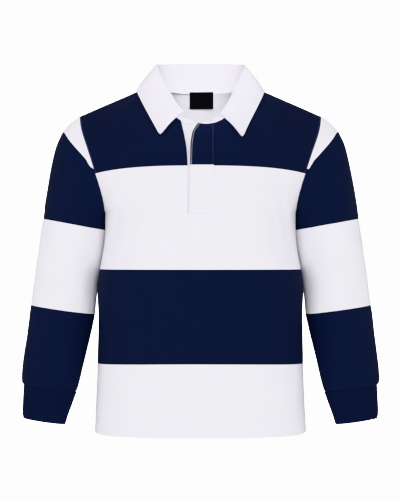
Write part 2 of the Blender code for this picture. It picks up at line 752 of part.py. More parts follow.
# ---------------------------------------------------------------- pieces
class Piece:
    """A piece of cloth as a grid of points on its outer side, with rows and columns."""

    def __init__(self, name, cloth, grid, wall=JERSEY_WALL, turned=False, loop=False, left_out=(),
                 relief=None, between=None):
        self.name = name
        self.between = between or {}
        self.cloth = cloth
        self.wall = wall
        rows, count = grid.shape[:2]
        keys = {}
        self.points = []
        self.relief = []
        ids = np.zeros((rows, count), dtype=int)
        for r in range(rows):
            for c in range(count):
                key = point_key(grid[r, c])
                if key not in keys:
                    keys[key] = len(self.points)
                    self.points.append(grid[r, c])
                    self.relief.append(relief[r, c] if relief is not None else 0.0)
                ids[r, c] = keys[key]
        self.faces = []
        for r in range(rows - 1):
            for c in range(count if loop else count - 1):
                if (r, c) in left_out:
                    continue
                after = (c + 1) % count
                corners = [ids[r, c], ids[r, after], ids[r + 1, after], ids[r + 1, c]]
                corners = [v for i, v in enumerate(corners) if v not in corners[:i]]
                if len(corners) > 2:
                    self.faces.append(corners if not turned else corners[::-1])


def point_key(point):
    return tuple(np.round(point, 3))


def face_normal(points, face):
    """A face's normal, its length twice the face's area."""
    normal = np.zeros(3)
    for i in range(1, len(face) - 1):
        normal += np.cross(points[face[i]] - points[face[0]], points[face[i + 1]] - points[face[0]])
    return normal


def piece_normals(pieces):
    """The normal at each point of one stretch of cloth, averaged over the faces that meet there."""
    normals = {}
    for piece in pieces:
        for face in piece.faces:
            normal = face_normal(piece.points, face)
            for v in face:
                key = point_key(piece.points[v])
                normals[key] = normals.get(key, 0) + normal
    return {key: unit(normal) for key, normal in normals.items()}


def shared_normals(stretches):
    """The normals of several stretches; along the seams between them each counts the same."""
    normals = {}
    for pieces in stretches:
        for key, normal in piece_normals(pieces).items():
            normals[key] = normals.get(key, 0) + normal
    normals = {key: unit(normal) for key, normal in normals.items()}
    for pieces in stretches:
        for piece in pieces:
            for key, (start, end, share) in piece.between.items():
                normals[key] = mix(normals[start], normals[end], share)
    return normals


def free_edges(faces):
    """The directed edges that only one face has, each with that face."""
    owners = {}
    for face in faces:
        for i, a in enumerate(face):
            owners[(a, face[(i + 1) % len(face)])] = face
    return {edge: face for edge, face in owners.items() if edge[::-1] not in owners}


def drawn_in(piece, rim):
    """The piece's points with its edge drawn in by half the gap of a seam."""
    inward = {}
    for (a, b), face in rim.items():
        edge = unit(piece.points[b] - piece.points[a])
        normal = unit(face_normal(piece.points, face))
        for v in (a, b):
            inward.setdefault(v, []).append(np.cross(normal, edge))
    points = [p.copy() for p in piece.points]
    for v, ways in inward.items():
        total = sum(ways)
        spread = 1 + (ways[0] @ ways[1] if len(ways) == 2 else 1)
        points[v] += total * SEAM_GAP / 2 / max(spread, SHARPEST_CORNER)
    return points


def build_wall(piece, normals):
    """The closed wall of a piece: its outer side, its inner side and the cut edge between them."""
    rim = free_edges(piece.faces)
    points = drawn_in(piece, rim)
    used = sorted({v for face in piece.faces for v in face})
    order = {v: i for i, v in enumerate(used)}
    ways = [normals[point_key(piece.points[v])] for v in used]
    outer = [points[v] + way * piece.relief[v] for v, way in zip(used, ways)]
    inner = [points[v] - way * piece.wall for v, way in zip(used, ways)]
    under = len(used)
    faces = [[order[v] for v in face] for face in piece.faces]
    faces += [[order[v] + under for v in face[::-1]] for face in piece.faces]
    faces += [[order[b], order[a], order[a] + under, order[b] + under] for a, b in rim]
    mesh = bpy.data.meshes.new(piece.name)
    mesh.from_pydata([tuple(p * MM) for p in outer + inner], [], faces)
    mesh.shade_smooth()
    mesh.set_sharp_from_angle(angle=SHARP_ANGLE)
    mesh.materials.append(material(piece.cloth))
    bpy.context.scene.collection.objects.link(bpy.data.objects.new(piece.name, mesh))


def material(cloth):
    found = bpy.data.materials.get(cloth.name)
    if found:
        return found
    made = bpy.data.materials.new(cloth.name)
    made.use_nodes = True
    shader = made.node_tree.nodes["Principled BSDF"]
    shader.inputs["Base Color"].default_value = (*cloth.colour, 1.0)
    shader.inputs["Roughness"].default_value = cloth.roughness
    shader.inputs["Metallic"].default_value = 0.0
    return made


def body_pieces(yokes, hoops):
    inner, outer = SIDE_COLUMNS, SIDE_COLUMNS + PLACKET_COLUMNS
    opening = {(r, c) for r in range(ARMHOLE_ROWS) for c in range(inner, outer)}
    pieces = [
        Piece("front_yoke_navy_left", NAVY_JERSEY, yokes["front"][:, :inner + 1], turned=True),
        Piece("front_yoke_navy_right", NAVY_JERSEY, yokes["front"][:, outer:], turned=True),
        Piece("back_yoke_navy", NAVY_JERSEY, yokes["back"]),
    ]
    cloths = {"chest": WHITE_JERSEY, "waist": NAVY_JERSEY, "low": WHITE_JERSEY}
    names = {"chest": "chest_white", "waist": "waist_navy", "low": "hem_white"}
    for face in ("front", "back"):
        for hoop, cloth in cloths.items():
            gap = opening if (face, hoop) == ("front", "chest") else ()
            pieces.append(Piece(f"{face}_{names[hoop]}", cloth, hoops[face][hoop],
                                turned=face == "front", left_out=gap))
    return pieces


def blunt_ends(cap):
    """The cap stripe with its two sharp ends cut short, on the same seams as before."""
    cut = cap.copy()
    between = {}
    for end, beside in ((0, 1), (-1, -2)):
        for r in range(len(cap)):
            cut[r, end] = mix(cap[r, end], cap[r, beside], CAP_BLUNT)
            between[point_key(cut[r, end])] = (point_key(cap[r, end]), point_key(cap[r, beside]), CAP_BLUNT)
    return cut, between


def sleeve_pieces(yokes, hoops):
    """Both sleeves, the left one mirrored, each sewn to its own armhole."""
    pieces = []
    for side, sign, edge in (("left", -1, 0), ("right", 1, -1)):
        lines = []
        for face in ("front", "back"):
            lower = hoops[face]["chest"][1:ARMHOLE_ROWS + 1, edge]
            lines.append(np.concatenate([yokes[face][:, edge], lower]) * (sign, 1, 1))
        for name, grid in sleeve_grids(armhole_loop(*lines)).items():
            cloth = WHITE_JERSEY if "white" in name else NAVY_JERSEY
            grid = grid * (sign, 1, 1)
            between = None
            if "cap" in name:
                grid, between = blunt_ends(grid)
            pieces.append(Piece(f"sleeve_{name}_{side}", cloth, grid, turned=sign < 0,
                                loop="cap" not in name, between=between))
    return pieces


def cuff_pieces():
    grid, ridges = cuff_grid()
    return [Piece(f"cuff_rib_{side}", NAVY_RIB, grid * (sign, 1, 1), wall=TWILL_WALL,
                  turned=sign < 0, loop=True, relief=ridges) for side, sign in (("left", -1), ("right", 1))]


def neckline(yokes):
    """The neckline from the underlap's edge round the back to the placket seam."""
    first, last = SHOULDER_COLUMNS, -1 - SHOULDER_COLUMNS
    front = yokes["front"][0]
    back = yokes["back"][0]
    left = front[first:SIDE_COLUMNS + 1][::-1]
    right = front[SIDE_COLUMNS + PLACKET_COLUMNS:len(front) + last + 1][::-1]
    return np.concatenate([left, back[first + 1:last], right])


def main():
    for old in list(bpy.data.objects):
        bpy.data.objects.remove(old)
    levels = hoop_levels()
    yokes = {face: yoke_grid(face) for face in FACING}
    hoops = {face: {name: hoop_grid(rows, face) for name, rows in levels.items()} for face in FACING}
    loop = neckline(yokes)
    shares = neck_shares(loop)
    sleeves = sleeve_pieces(yokes, hoops)
    stretches = [
        body_pieces(yokes, hoops),
        [piece for piece in sleeves if piece.name.endswith("left")],
        [piece for piece in sleeves if piece.name.endswith("right")],
        [Piece("collar_stand", WHITE_TWILL, stand_grid(loop, shares), turned=True)],
    ]
    loose = cuff_pieces() + [
        Piece("collar_leaf", WHITE_TWILL, leaf_grid(loop, shares), wall=TWILL_WALL),
        Piece("placket_navy", NAVY_JERSEY, overlap_grid(None, CHEST_EDGE),
              wall=OVERLAP_WALL, turned=True),
        Piece("placket_white", WHITE_JERSEY, overlap_grid(CHEST_EDGE, PLACKET_END),
              wall=OVERLAP_WALL, turned=True),
        Piece("placket_underlap", WHITE_TWILL, underlap_grid(), wall=UNDERLAP_WALL, turned=True),
        Piece("neckband_end_over", WHITE_TWILL, band_end_grid(*OVER_BAND), wall=TWILL_WALL),
        Piece("neckband_end_under", WHITE_TWILL, band_end_grid(*UNDER_BAND),
              wall=UNDERLAP_WALL, turned=True),
        Piece("neck_facing", WHITE_TWILL, facing_grid(yokes["back"]), wall=TAPE_WALL),
        Piece("neck_label", BLACK_TAPE, label_grid(yokes["back"]), wall=TAPE_WALL),
    ]
    normals = shared_normals(stretches)
    for piece in sum(stretches, []):
        build_wall(piece, normals)
    for piece in loose:
        build_wall(piece, piece_normals([piece]))


main()
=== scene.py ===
"""The looks of a child's rugby shirt in navy and white hoops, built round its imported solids."""
import math
from collections import Counter, namedtuple

import bmesh
import bpy
import numpy as np
from mathutils import Matrix, Vector, noise
from mathutils.bvhtree import BVHTree
from mathutils.kdtree import KDTree


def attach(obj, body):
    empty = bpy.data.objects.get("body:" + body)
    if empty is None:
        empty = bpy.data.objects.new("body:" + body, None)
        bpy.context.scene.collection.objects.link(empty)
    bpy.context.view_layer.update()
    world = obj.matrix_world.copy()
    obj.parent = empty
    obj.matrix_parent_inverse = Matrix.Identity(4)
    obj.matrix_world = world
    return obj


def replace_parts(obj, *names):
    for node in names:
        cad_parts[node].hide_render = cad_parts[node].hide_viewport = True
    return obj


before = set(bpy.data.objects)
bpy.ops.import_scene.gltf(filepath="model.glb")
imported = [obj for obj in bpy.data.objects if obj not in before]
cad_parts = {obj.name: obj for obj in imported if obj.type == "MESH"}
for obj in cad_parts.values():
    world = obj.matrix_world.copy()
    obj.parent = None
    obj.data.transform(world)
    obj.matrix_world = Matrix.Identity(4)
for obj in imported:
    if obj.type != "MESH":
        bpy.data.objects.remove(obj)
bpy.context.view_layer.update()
MM = 0.001


# ---------------------------------------------------------------- Body hoops
# Front and back are each cut from strips of heavy cotton jersey, dyed navy or bleached white, and
# joined edge to edge into hoops, with overlocked seams inside. The cloth is matte, with a faint
# nap, and falls nearly straight, with soft hollows below the arms where it has no body to fill it.

JERSEY_THICKNESS = 1.3
ROUNDED_EDGE = 0.15             # a folded or sewn edge of jersey isn't sharp
FINENESS = 3                    # how often each facet of the solid is halved
FITTINGS = 3
MOST_FITTED = 0.5               # in one fitting, so that no corner runs away
MERGE_WITHIN = 0.002
RIM_MATCH = 0.002
PAIR_BEND = 40                  # the most that two triangles joined to a four-sided facet bend
PAIR_SKEW = 120                 # and that its corners are off square, both in degrees
EDGE_ANGLE = 50                 # sharper edges than this are rounded
JERSEY_WALL = 1.5               # of the solids
WALE = 1.2                      # one column of knit loops
COURSE = 0.9                    # one row of them
CLOUDS = 30                     # in each metre, of the dye's faint unevenness
FIBRES = 1100                   # in each metre
HEM = -510

# Each strip, with the size it is cut to as far as it shows: without seam allowances or turn-ups.
Strip = namedtuple("Strip", "node cloth width length area")
BODY_STRIPS = (
    Strip("front_yoke_navy_left", "navy", 165, 168, 0.0183),
    Strip("front_yoke_navy_right", "navy", 165, 168, 0.0183),
    Strip("back_yoke_navy", "navy", 360, 165, 0.0485),
    Strip("front_chest_white", "white", 396, 152, 0.0506),
    Strip("back_chest_white", "white", 396, 152, 0.0538),
    Strip("front_waist_navy", "navy", 394, 140, 0.0533),
    Strip("back_waist_navy", "navy", 402, 140, 0.055),
    Strip("front_hem_white", "white", 396, 109, 0.0422),
    Strip("back_hem_white", "white", 404, 109, 0.0435),
)

# Soft creases, placed one by one: seen from one side, the middle of each lies at (across, up). It
# leans by so many degrees, its ends curve sideways by bow, and a depth below 0 is a trough.
Crease = namedtuple("Crease", "across up lean half_length half_width depth bow")
CREASES = {
    "front": (
        Crease(-122, -200, 6, 46, 6, -1.3, 5),
        Crease(-106, -226, 13, 60, 8, -1.0, -7),
        Crease(-131, -250, -4, 34, 6, -0.9, 4),
        Crease(125, -196, -8, 44, 6, -1.5, -5),
        Crease(110, -216, -15, 56, 8, -1.1, 7),
        Crease(133, -252, 5, 36, 6, -1.0, -4),
        Crease(-64, -300, 20, 74, 13, -0.7, 9),
        Crease(52, -318, -16, 82, 14, -0.8, -11),
        Crease(96, -404, -6, 58, 11, 0.8, 6),
        Crease(-88, -424, 8, 64, 12, 0.8, -6),
        Crease(6, -462, -3, 44, 10, 0.6, 3),
        Crease(-58, -96, 62, 34, 9, -0.6, 5),
        Crease(96, -88, -58, 36, 9, -0.6, -5),
        Crease(-196, -180, -34, 30, 7, -1.0, 5),
        Crease(-180, -224, -52, 26, 6, -1.2, -4),
        Crease(-206, -262, -20, 40, 9, -0.8, 6),
        Crease(-190, -312, -58, 24, 7, -1.0, 4),
        Crease(-216, -356, -12, 38, 8, -0.7, -5),
        Crease(-230, -410, -4, 26, 7, 0.7, 3),
        Crease(192, -190, 38, 28, 7, -1.1, -5),
        Crease(178, -236, 56, 28, 6, -1.2, 4),
        Crease(210, -284, 16, 42, 9, -0.8, -6),
        Crease(192, -322, 62, 22, 7, -1.0, 4),
        Crease(216, -368, 10, 36, 8, -0.7, 5),
        Crease(233, -414, 6, 24, 7, 0.7, -3),
    ),
    "back": (
        Crease(-112, -198, 10, 58, 8, -1.7, 8),
        Crease(-86, -236, 18, 70, 11, -1.3, -8),
        Crease(108, -204, -12, 62, 8, -1.8, -8),
        Crease(76, -262, -20, 80, 12, -1.3, 10),
        Crease(-30, -340, 6, 96, 14, -1.1, 8),
        Crease(40, -398, -5, 78, 13, -1.0, -6),
        Crease(-72, -436, 4, 52, 11, 0.9, 5),
        Crease(-46, -70, 70, 40, 10, -0.8, 6),
        Crease(58, -78, -66, 44, 11, -0.9, -6),
        Crease(-190, -206, -40, 34, 8, -1.4, 6),
        Crease(-206, -268, -24, 42, 9, -1.1, -6),
        Crease(-222, -376, -14, 36, 8, -0.9, 5),
        Crease(188, -216, 44, 32, 8, -1.4, -5),
        Crease(208, -302, 20, 44, 9, -1.0, 6),
        Crease(226, -392, 12, 30, 8, -0.9, -4),
    ),
    "left": (
        Crease(-8, -206, 26, 34, 8, -1.2, 5),
        Crease(20, -262, -18, 44, 9, -1.0, -6),
        Crease(4, -352, 12, 38, 9, -0.8, 5),
    ),
    "right": (
        Crease(-4, -218, -30, 36, 8, -1.2, -5),
        Crease(24, -284, 16, 46, 9, -1.0, 6),
        Crease(2, -366, -10, 34, 9, -0.8, -4),
    ),
}
# What each side sees: the coordinate that runs across, the way it faces, and how far out along
# that way a point has to lie to belong to it, in millimetres.
Side = namedtuple("Side", "across facing beyond")
SIDES = {
    "front": Side(0, (0, -1, 0), -500),
    "back": Side(0, (0, 1, 0), -500),
    "left": Side(1, (-1, 0, 0), 165),
    "right": Side(1, (1, 0, 0), 165),
}
SIDE_FADE = 20
FULLY_FACING = 0.5              # a share of the normal, from which a crease has its full depth
UNEVENNESS = ((46, 0.45), (17, 0.14))       # (how far apart, how high) the cloth's own waves are
PUCKER_APART = 3.4
PUCKER_HEIGHT = 0.2
PUCKER_REACH = 6.5
SEAM_VALLEY = 0.2                           # how far the cloth dips beside a seam
VALLEY_REACH = 1.8
SEAM_PUSH = 0.18                            # closes the solids' gap at a seam


def outer_side(node, wall, corner=55, rank=0):
    """The outside of a node's wall. Faces with an edge as long as the wall is thick are its rim;
    the rest is parted at sharp corners into patches, and the largest patch is the outside."""
    work = bmesh.new()
    work.from_mesh(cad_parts[node].data)
    bmesh.ops.remove_doubles(work, verts=work.verts, dist=MERGE_WITHIN * MM)
    work.faces.index_update()
    reached = {face.index for face in work.faces
               if any(abs(edge.calc_length() / MM - wall) < RIM_MATCH for edge in face.edges)}
    patches = []
    for start in work.faces:
        if start.index in reached:
            continue
        reached.add(start.index)
        patch = [start]
        for face in patch:
            for edge in face.edges:
                if edge.calc_face_angle(0) > math.radians(corner):
                    continue
                for other in edge.link_faces:
                    if other.index not in reached:
                        reached.add(other.index)
                        patch.append(other)
        patches.append(patch)
    patches.sort(key=lambda patch: -sum(face.calc_area() for face in patch))
    kept = set(patches[rank])
    rest = [face for face in work.faces if face not in kept]
    bmesh.ops.delete(work, geom=rest, context="FACES")
    bmesh.ops.join_triangles(work, faces=work.faces[:], topology_influence=2.0,
                             angle_face_threshold=math.radians(PAIR_BEND),
                             angle_shape_threshold=math.radians(PAIR_SKEW))
    side = bpy.data.meshes.new(node)
    work.to_mesh(side)
    work.free()
    return side


def read_points(mesh, what="co"):
    """The mesh's points or normals as rows of x, y and z."""
    values = np.empty(3 * len(mesh.vertices))
    mesh.vertices.foreach_get(what, values)
    return values.reshape(-1, 3)


def write_points(mesh, points):
    """Moves the mesh's points to the rows given."""
    mesh.vertices.foreach_set("co", points.ravel())
    mesh.update()


def ramp(values, start, end):
    """0 up to the start, 1 from the end on, and rising evenly between. The end may be the lower."""
    return np.clip((values - start) / (end - start), 0, 1)


def bell(away, reach):
    """1 in the middle, fading smoothly to nothing about two reaches away."""
    return np.exp(-(away / reach) ** 2)


def nearest_of(places):
    """A tree that finds the nearest place, from a dictionary of numbered places."""
    tree = KDTree(len(places))
    for number, place in places.items():
        tree.insert(place, number)
    tree.balance()
    return tree


def new_piece(name, data):
    """A new object in the scene."""
    piece = bpy.data.objects.new(name, data)
    bpy.context.scene.collection.objects.link(piece)
    return piece


def as_made(piece):
    """What the piece's modifiers make of it, as a new mesh."""
    bpy.context.view_layer.update()
    return bpy.data.meshes.new_from_object(piece.evaluated_get(bpy.context.evaluated_depsgraph_get()))


def fine_cloth(node, side, fineness=FINENESS):
    """A new piece: the side's facets rounded into one smooth sheet that passes through their
    corners. Rounding draws a point in, so each is first moved about as far the other way."""
    piece = new_piece(node + "_cloth", side)
    rounding = piece.modifiers.new("rounding", "SUBSURF")
    rounding.boundary_smooth = "PRESERVE_CORNERS"
    wanted = read_points(side)
    held = wanted.copy()
    rounding.levels = 1
    for _ in range(FITTINGS):
        short = wanted - read_points(as_made(piece))[:len(wanted)]
        size = np.linalg.norm(short, axis=1, keepdims=True)
        held += short * np.minimum(1, MOST_FITTED * MM / np.maximum(size, 1e-9))
        write_points(side, held)
    rounding.levels = fineness
    piece.data = as_made(piece)
    piece.modifiers.clear()
    return piece


def outward_at_edge(mesh):
    """For each point on the cloth's edge, the direction straight out of the cloth."""
    work = bmesh.new()
    work.from_mesh(mesh)
    outward = {}
    for edge in work.edges:
        if edge.is_boundary:
            start, end = (vertex.co for vertex in edge.verts)
            run = (end - start).normalized()
            away = (start + end) / 2 - edge.link_faces[0].calc_center_median()
            away = (away - away.dot(run) * run).normalized()
            for vertex in edge.verts:
                outward[vertex.index] = outward.get(vertex.index, Vector()) + away
    work.free()
    return {index: away.normalized() for index, away in outward.items()}


def crease_height(points, normals):
    """How far the creases lift each point."""
    height = np.zeros(len(points))
    for name, side in SIDES.items():
        seen = ramp(normals @ side.facing, 0, FULLY_FACING)
        seen *= ramp(points @ side.facing, side.beyond, side.beyond + SIDE_FADE)
        for crease in CREASES[name]:
            lean = math.radians(crease.lean)
            across = points[:, side.across] - crease.across
            up = points[:, 2] - crease.up
            along = (up * math.cos(lean) + across * math.sin(lean)) / crease.half_length
            off = across * math.cos(lean) - up * math.sin(lean) - crease.bow * along ** 2
            height += crease.depth * seen * bell(off, crease.half_width) * np.exp(-along ** 4)
    return height


def settle(piece, sewn=lambda point: True, pucker=1.0, push=SEAM_PUSH):
    """Creases the cloth, makes it a little uneven, and draws it in and puckers it along the edges
    where sewn(point) is true."""
    mesh = piece.data
    points = read_points(mesh) / MM
    normals = read_points(mesh, "normal")
    edge = {index: away for index, away in outward_at_edge(mesh).items() if sewn(points[index])}
    nearest = nearest_of({index: points[index] for index in edge})
    height = crease_height(points, normals)
    for index, point in enumerate(points):
        for apart, high in UNEVENNESS:
            height[index] += high * noise.noise(point / apart)
        if edge:
            beside, _, away = nearest.find(point)
            ripple = noise.noise(beside / PUCKER_APART)
            height[index] += pucker * PUCKER_HEIGHT * ripple * math.exp(-away / PUCKER_REACH)
            height[index] -= pucker * SEAM_VALLEY * bell(away, VALLEY_REACH)
    points += height[:, None] * normals
    for index, away in edge.items():
        points[index] += push * np.array(away)
    write_points(mesh, points * MM)


def lay_flat(piece, flat_place, turn_length=None):
    """Writes the piece's UV map, in metres of flat cloth. A tube repeats each turn_length."""
    mesh = piece.data
    places = flat_place(read_points(mesh) / MM)
    corners = mesh.uv_layers.new(name="flat_cloth").data
    for face in mesh.polygons:
        face_places = places[list(face.vertices)]
        if turn_length:
            behind = face_places[:, 0] < face_places[:, 0].max() - turn_length / 2
            face_places[behind, 0] += turn_length
        for corner, place in zip(face.loop_indices, face_places * MM):
            corners[corner].uv = place


def thicken(piece, thickness):
    """Gives the cloth its thickness, inwards, with rounded edges, and shades it smooth."""
    wall = piece.modifiers.new("thickness", "SOLIDIFY")
    wall.thickness = thickness * MM
    wall.offset = -1
    rounded = piece.modifiers.new("rounded_edge", "BEVEL")
    rounded.width = ROUNDED_EDGE * MM
    rounded.segments = 2
    rounded.limit_method = "ANGLE"
    rounded.angle_limit = math.radians(EDGE_ANGLE)
    piece.data.shade_smooth()


def dress(piece, node, material):
    """Puts the finished cloth on the shirt in the place of its solid."""
    piece.data.materials.clear()
    piece.data.materials.append(material)
    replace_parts(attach(piece, "root"), node)


# The body's rings are squarish ovals. The arc tables give the length of cloth from the side seam
# to a point at a turn of 0 to 90 degrees, and the shoulders bend over a line through the chest.
RING_WIDTH = 153
RING_DEPTH = 86
RING_SQUARENESS = 2.4
turns = np.linspace(0, math.pi / 2, 200)
ring_x = RING_WIDTH * np.cos(turns) ** (2 / RING_SQUARENESS)
ring_y = RING_DEPTH * np.sin(turns) ** (2 / RING_SQUARENESS)
arc = np.concatenate(([0], np.cumsum(np.hypot(np.diff(ring_x), np.diff(ring_y)))))
BEND_LINE = -80
BEND_RADIUS = 100


def flat_hoop(points):
    """Across the cloth from the middle of the front or back, and up it."""
    wide = (np.abs(points[:, 0]) / RING_WIDTH) ** (RING_SQUARENESS / 2)
    deep = (np.abs(points[:, 1]) / RING_DEPTH) ** (RING_SQUARENESS / 2)
    from_side = np.interp(np.arctan2(deep, wide), turns, arc)
    return np.column_stack((np.sign(points[:, 0]) * (arc[-1] - from_side), points[:, 2]))


def flat_yoke(points):
    """Across the shoulders, and up the chest or back and over the shoulder."""
    bend = np.arctan2(points[:, 2] - BEND_LINE, np.abs(points[:, 1]))
    return np.column_stack((points[:, 0], BEND_RADIUS * bend))


def linear(hex_colour):
    """An sRGB hex colour as linear red, green, blue and alpha."""
    shares = [int(hex_colour[i:i + 2], 16) / 255 for i in (0, 2, 4)]
    return (*[s / 12.92 if s <= 0.04045 else ((s + 0.055) / 1.055) ** 2.4 for s in shares], 1)


def add(tree, kind, given=None, **settings):
    """A node with its settings; each of its inputs is given a value or another node's socket."""
    node = tree.nodes.new(kind)
    for name, value in settings.items():
        setattr(node, name, value)
    for name, value in (given or {}).items():
        if isinstance(value, bpy.types.NodeSocket):
            tree.links.new(value, node.inputs[name])
        else:
            node.inputs[name].default_value = value
    return node


def knit_relief(tree):
    """Columns of V-shaped loops, as on the face of single jersey, from the flat cloth's UV map."""
    cloth = add(tree, "ShaderNodeUVMap", uv_map="flat_cloth")
    place = add(tree, "ShaderNodeSeparateXYZ", {0: cloth.outputs[0]})
    side = add(tree, "ShaderNodeMath", {0: place.outputs[0], 1: WALE * MM / 2}, operation="PINGPONG")
    lean = add(tree, "ShaderNodeMath", {0: side.outputs[0], 1: place.outputs[1]}, operation="ADD")
    phase = add(tree, "ShaderNodeMath", {0: lean.outputs[0], 1: 2 * math.pi / (COURSE * MM)},
                operation="MULTIPLY")
    loop = add(tree, "ShaderNodeMath", {0: phase.outputs[0]}, operation="SINE")
    column = add(tree, "ShaderNodeMath", {0: side.outputs[0], 1: 4 / (WALE * MM)}, operation="MULTIPLY")
    return add(tree, "ShaderNodeMath", {0: loop.outputs[0], 1: 0.5, 2: column.outputs[0]},
               operation="MULTIPLY_ADD").outputs[0]


def cotton(name, colour, relief_of, relief_depth, roughness, nap, nap_colour, mottle=0.05,
           specular=0.5):
    """Cotton cloth: matte and faintly mottled, with its knit or weave as relief and a soft nap."""
    material = bpy.data.materials.new(name)
    material.use_nodes = True
    tree = material.node_tree
    shader = tree.nodes["Principled BSDF"]
    place = add(tree, "ShaderNodeTexCoord").outputs["Object"]
    cloud = add(tree, "ShaderNodeTexNoise", {"Vector": place, "Scale": CLOUDS, "Detail": 3})
    fibre = add(tree, "ShaderNodeTexNoise", {"Vector": place, "Scale": FIBRES, "Detail": 2})
    both = add(tree, "ShaderNodeMath", {0: cloud.outputs[0], 1: fibre.outputs[0]}, operation="ADD")
    value = add(tree, "ShaderNodeMapRange", {"Value": both.outputs[0], "From Min": 0.7, "From Max": 1.3,
                                             "To Min": 1 - mottle, "To Max": 1 + mottle})
    dyed = add(tree, "ShaderNodeHueSaturation", {"Color": linear(colour), "Value": value.outputs[0]})
    fuzzy = add(tree, "ShaderNodeMath", {0: fibre.outputs[0], 1: 0.6, 2: relief_of(tree)},
                operation="MULTIPLY_ADD")
    relief = add(tree, "ShaderNodeBump", {"Height": fuzzy.outputs[0], "Distance": relief_depth * MM})
    tree.links.new(dyed.outputs[0], shader.inputs["Base Color"])
    tree.links.new(relief.outputs[0], shader.inputs["Normal"])
    shader.inputs["Roughness"].default_value = roughness
    shader.inputs["Specular IOR Level"].default_value = specular
    shader.inputs["Sheen Weight"].default_value = nap
    shader.inputs["Sheen Roughness"].default_value = 0.5
    shader.inputs["Sheen Tint"].default_value = linear(nap_colour)
    return material


# Combed cotton single jersey. The dark dye drinks the light and shows its nap only as a faint
# lighter bloom; the bleached strips are a cool, very slightly lilac white.
NAVY = "061131"
NAVY_NAP = "5468A8"
WHITE_NAP = "FFFFFF"
jersey = {
    "navy": cotton("navy cotton jersey", NAVY, knit_relief, relief_depth=0.12, roughness=0.9,
                   nap=0.02, nap_colour=NAVY_NAP),
    "white": cotton("white cotton jersey", "EFEDF3", knit_relief, relief_depth=0.12, roughness=0.9,
                    nap=0.05, nap_colour=WHITE_NAP, mottle=0.02),
}

HEM_LIFT = 2.6                  # the hem turns up a little at the side seams
HEM_LIFT_ACROSS = (141, 157)    # from where to where it rises
HEM_LIFT_UP = (HEM + 30, HEM)
HEM_FOLD = HEM + HEM_LIFT + 2   # below this is the hem's folded edge, which isn't sewn to anything
SLIT_OPENED = 1.5               # the front's slit stands this much further open on its left
SLIT_ACROSS = ((-45, -20), (5, -15))
SLIT_UP = ((-50, -75), (-215, -185))


def lift_hem(piece):
    """Lifts the lowest cloth towards the side seams."""
    points = read_points(piece.data)
    lifted = ramp(np.abs(points[:, 0]) / MM, *HEM_LIFT_ACROSS) ** 2
    points[:, 2] += HEM_LIFT * MM * lifted * ramp(points[:, 2] / MM, *HEM_LIFT_UP)
    write_points(piece.data, points)


def open_slit(piece):
    """Draws the left side of the front's slit a little further open."""
    points = read_points(piece.data)
    drawn = 1
    for column, fades in ((0, SLIT_ACROSS), (2, SLIT_UP)):
        for fade in fades:
            drawn = drawn * ramp(points[:, column] / MM, *fade)
    points[:, 0] -= SLIT_OPENED * MM * drawn
    write_points(piece.data, points)


body_cloth = {}
for strip in BODY_STRIPS:
    piece = fine_cloth(strip.node, outer_side(strip.node, JERSEY_WALL))
    lay_flat(piece, flat_yoke if "yoke" in strip.node else flat_hoop)
    lift_hem(piece)
    if strip.node in ("front_yoke_navy_left", "front_chest_white"):
        open_slit(piece)
    settle(piece, sewn=lambda point: point[2] > HEM_FOLD)
    thicken(piece, JERSEY_THICKNESS)
    dress(piece, strip.node, jersey[strip.cloth])
    body_cloth[strip.node] = piece


# ---------------------------------------------------------------- Sleeves
# Each sleeve is a tube of four jersey strips, sewn into the armhole and closed under the arm: a
# wedge-shaped cap in white, then navy, white and navy. With no arm inside it hangs straight down.

SLEEVE_STRIPS = (
    Strip("sleeve_cap_white", "white", 160, 74, 0.0038),
    Strip("sleeve_upper_navy", "navy", 285, 150, 0.0258),
    Strip("sleeve_elbow_white", "white", 284, 134, 0.0369),
    Strip("sleeve_fore_navy", "navy", 276, 122, 0.0302),
)
SHOULDER_END = (160.5, 0.0, -110.6)         # of the line down the middle of the sleeve
WRIST_END = (226.0, 0.0, -439.0)
SLEEVE_MIDDLE_Y = 5
SLEEVE_RADIUS = 40
SLEEVE_ROUND = 2 * math.pi * SLEEVE_RADIUS

# Where the sleeve lies off its solid: the height of the middle, how far up and down, how much.
Shift = namedtuple("Shift", "height reach much")
HANGS_CLOSE = (Shift(-189, 8, 3.2), Shift(-203, 11, 2.4), Shift(-224, 24, 1.6))
INNER_HALF = 165                # further in than this is the side that hangs close to the body
RIGHT_OUT = Shift(-250, 165, 1.6)
TRIM = 3.6                      # the cap stripe ends this much further up than on the solid
TRIM_REACH = 10
TRIM_TAPER = 15
TIP_RAISED = 2.4                # the cap's two tips end this much higher than on the solid
TIP_REACH = 5
TIP_SIZE = 12
SEAM_REACH = 3


def flat_sleeve(points):
    """Round the sleeve from its front, and down it from the armhole."""
    down = Vector(WRIST_END) - Vector(SHOULDER_END)
    down.normalize()
    from_shoulder = np.abs(points[:, 0]) - SHOULDER_END[0]
    below = points[:, 2] - SHOULDER_END[2]
    along = from_shoulder * down.x + below * down.z
    outward = below * down.x - from_shoulder * down.z
    turn = np.arctan2(points[:, 1] - SLEEVE_MIDDLE_Y, outward)
    return np.column_stack((SLEEVE_RADIUS * turn, along))


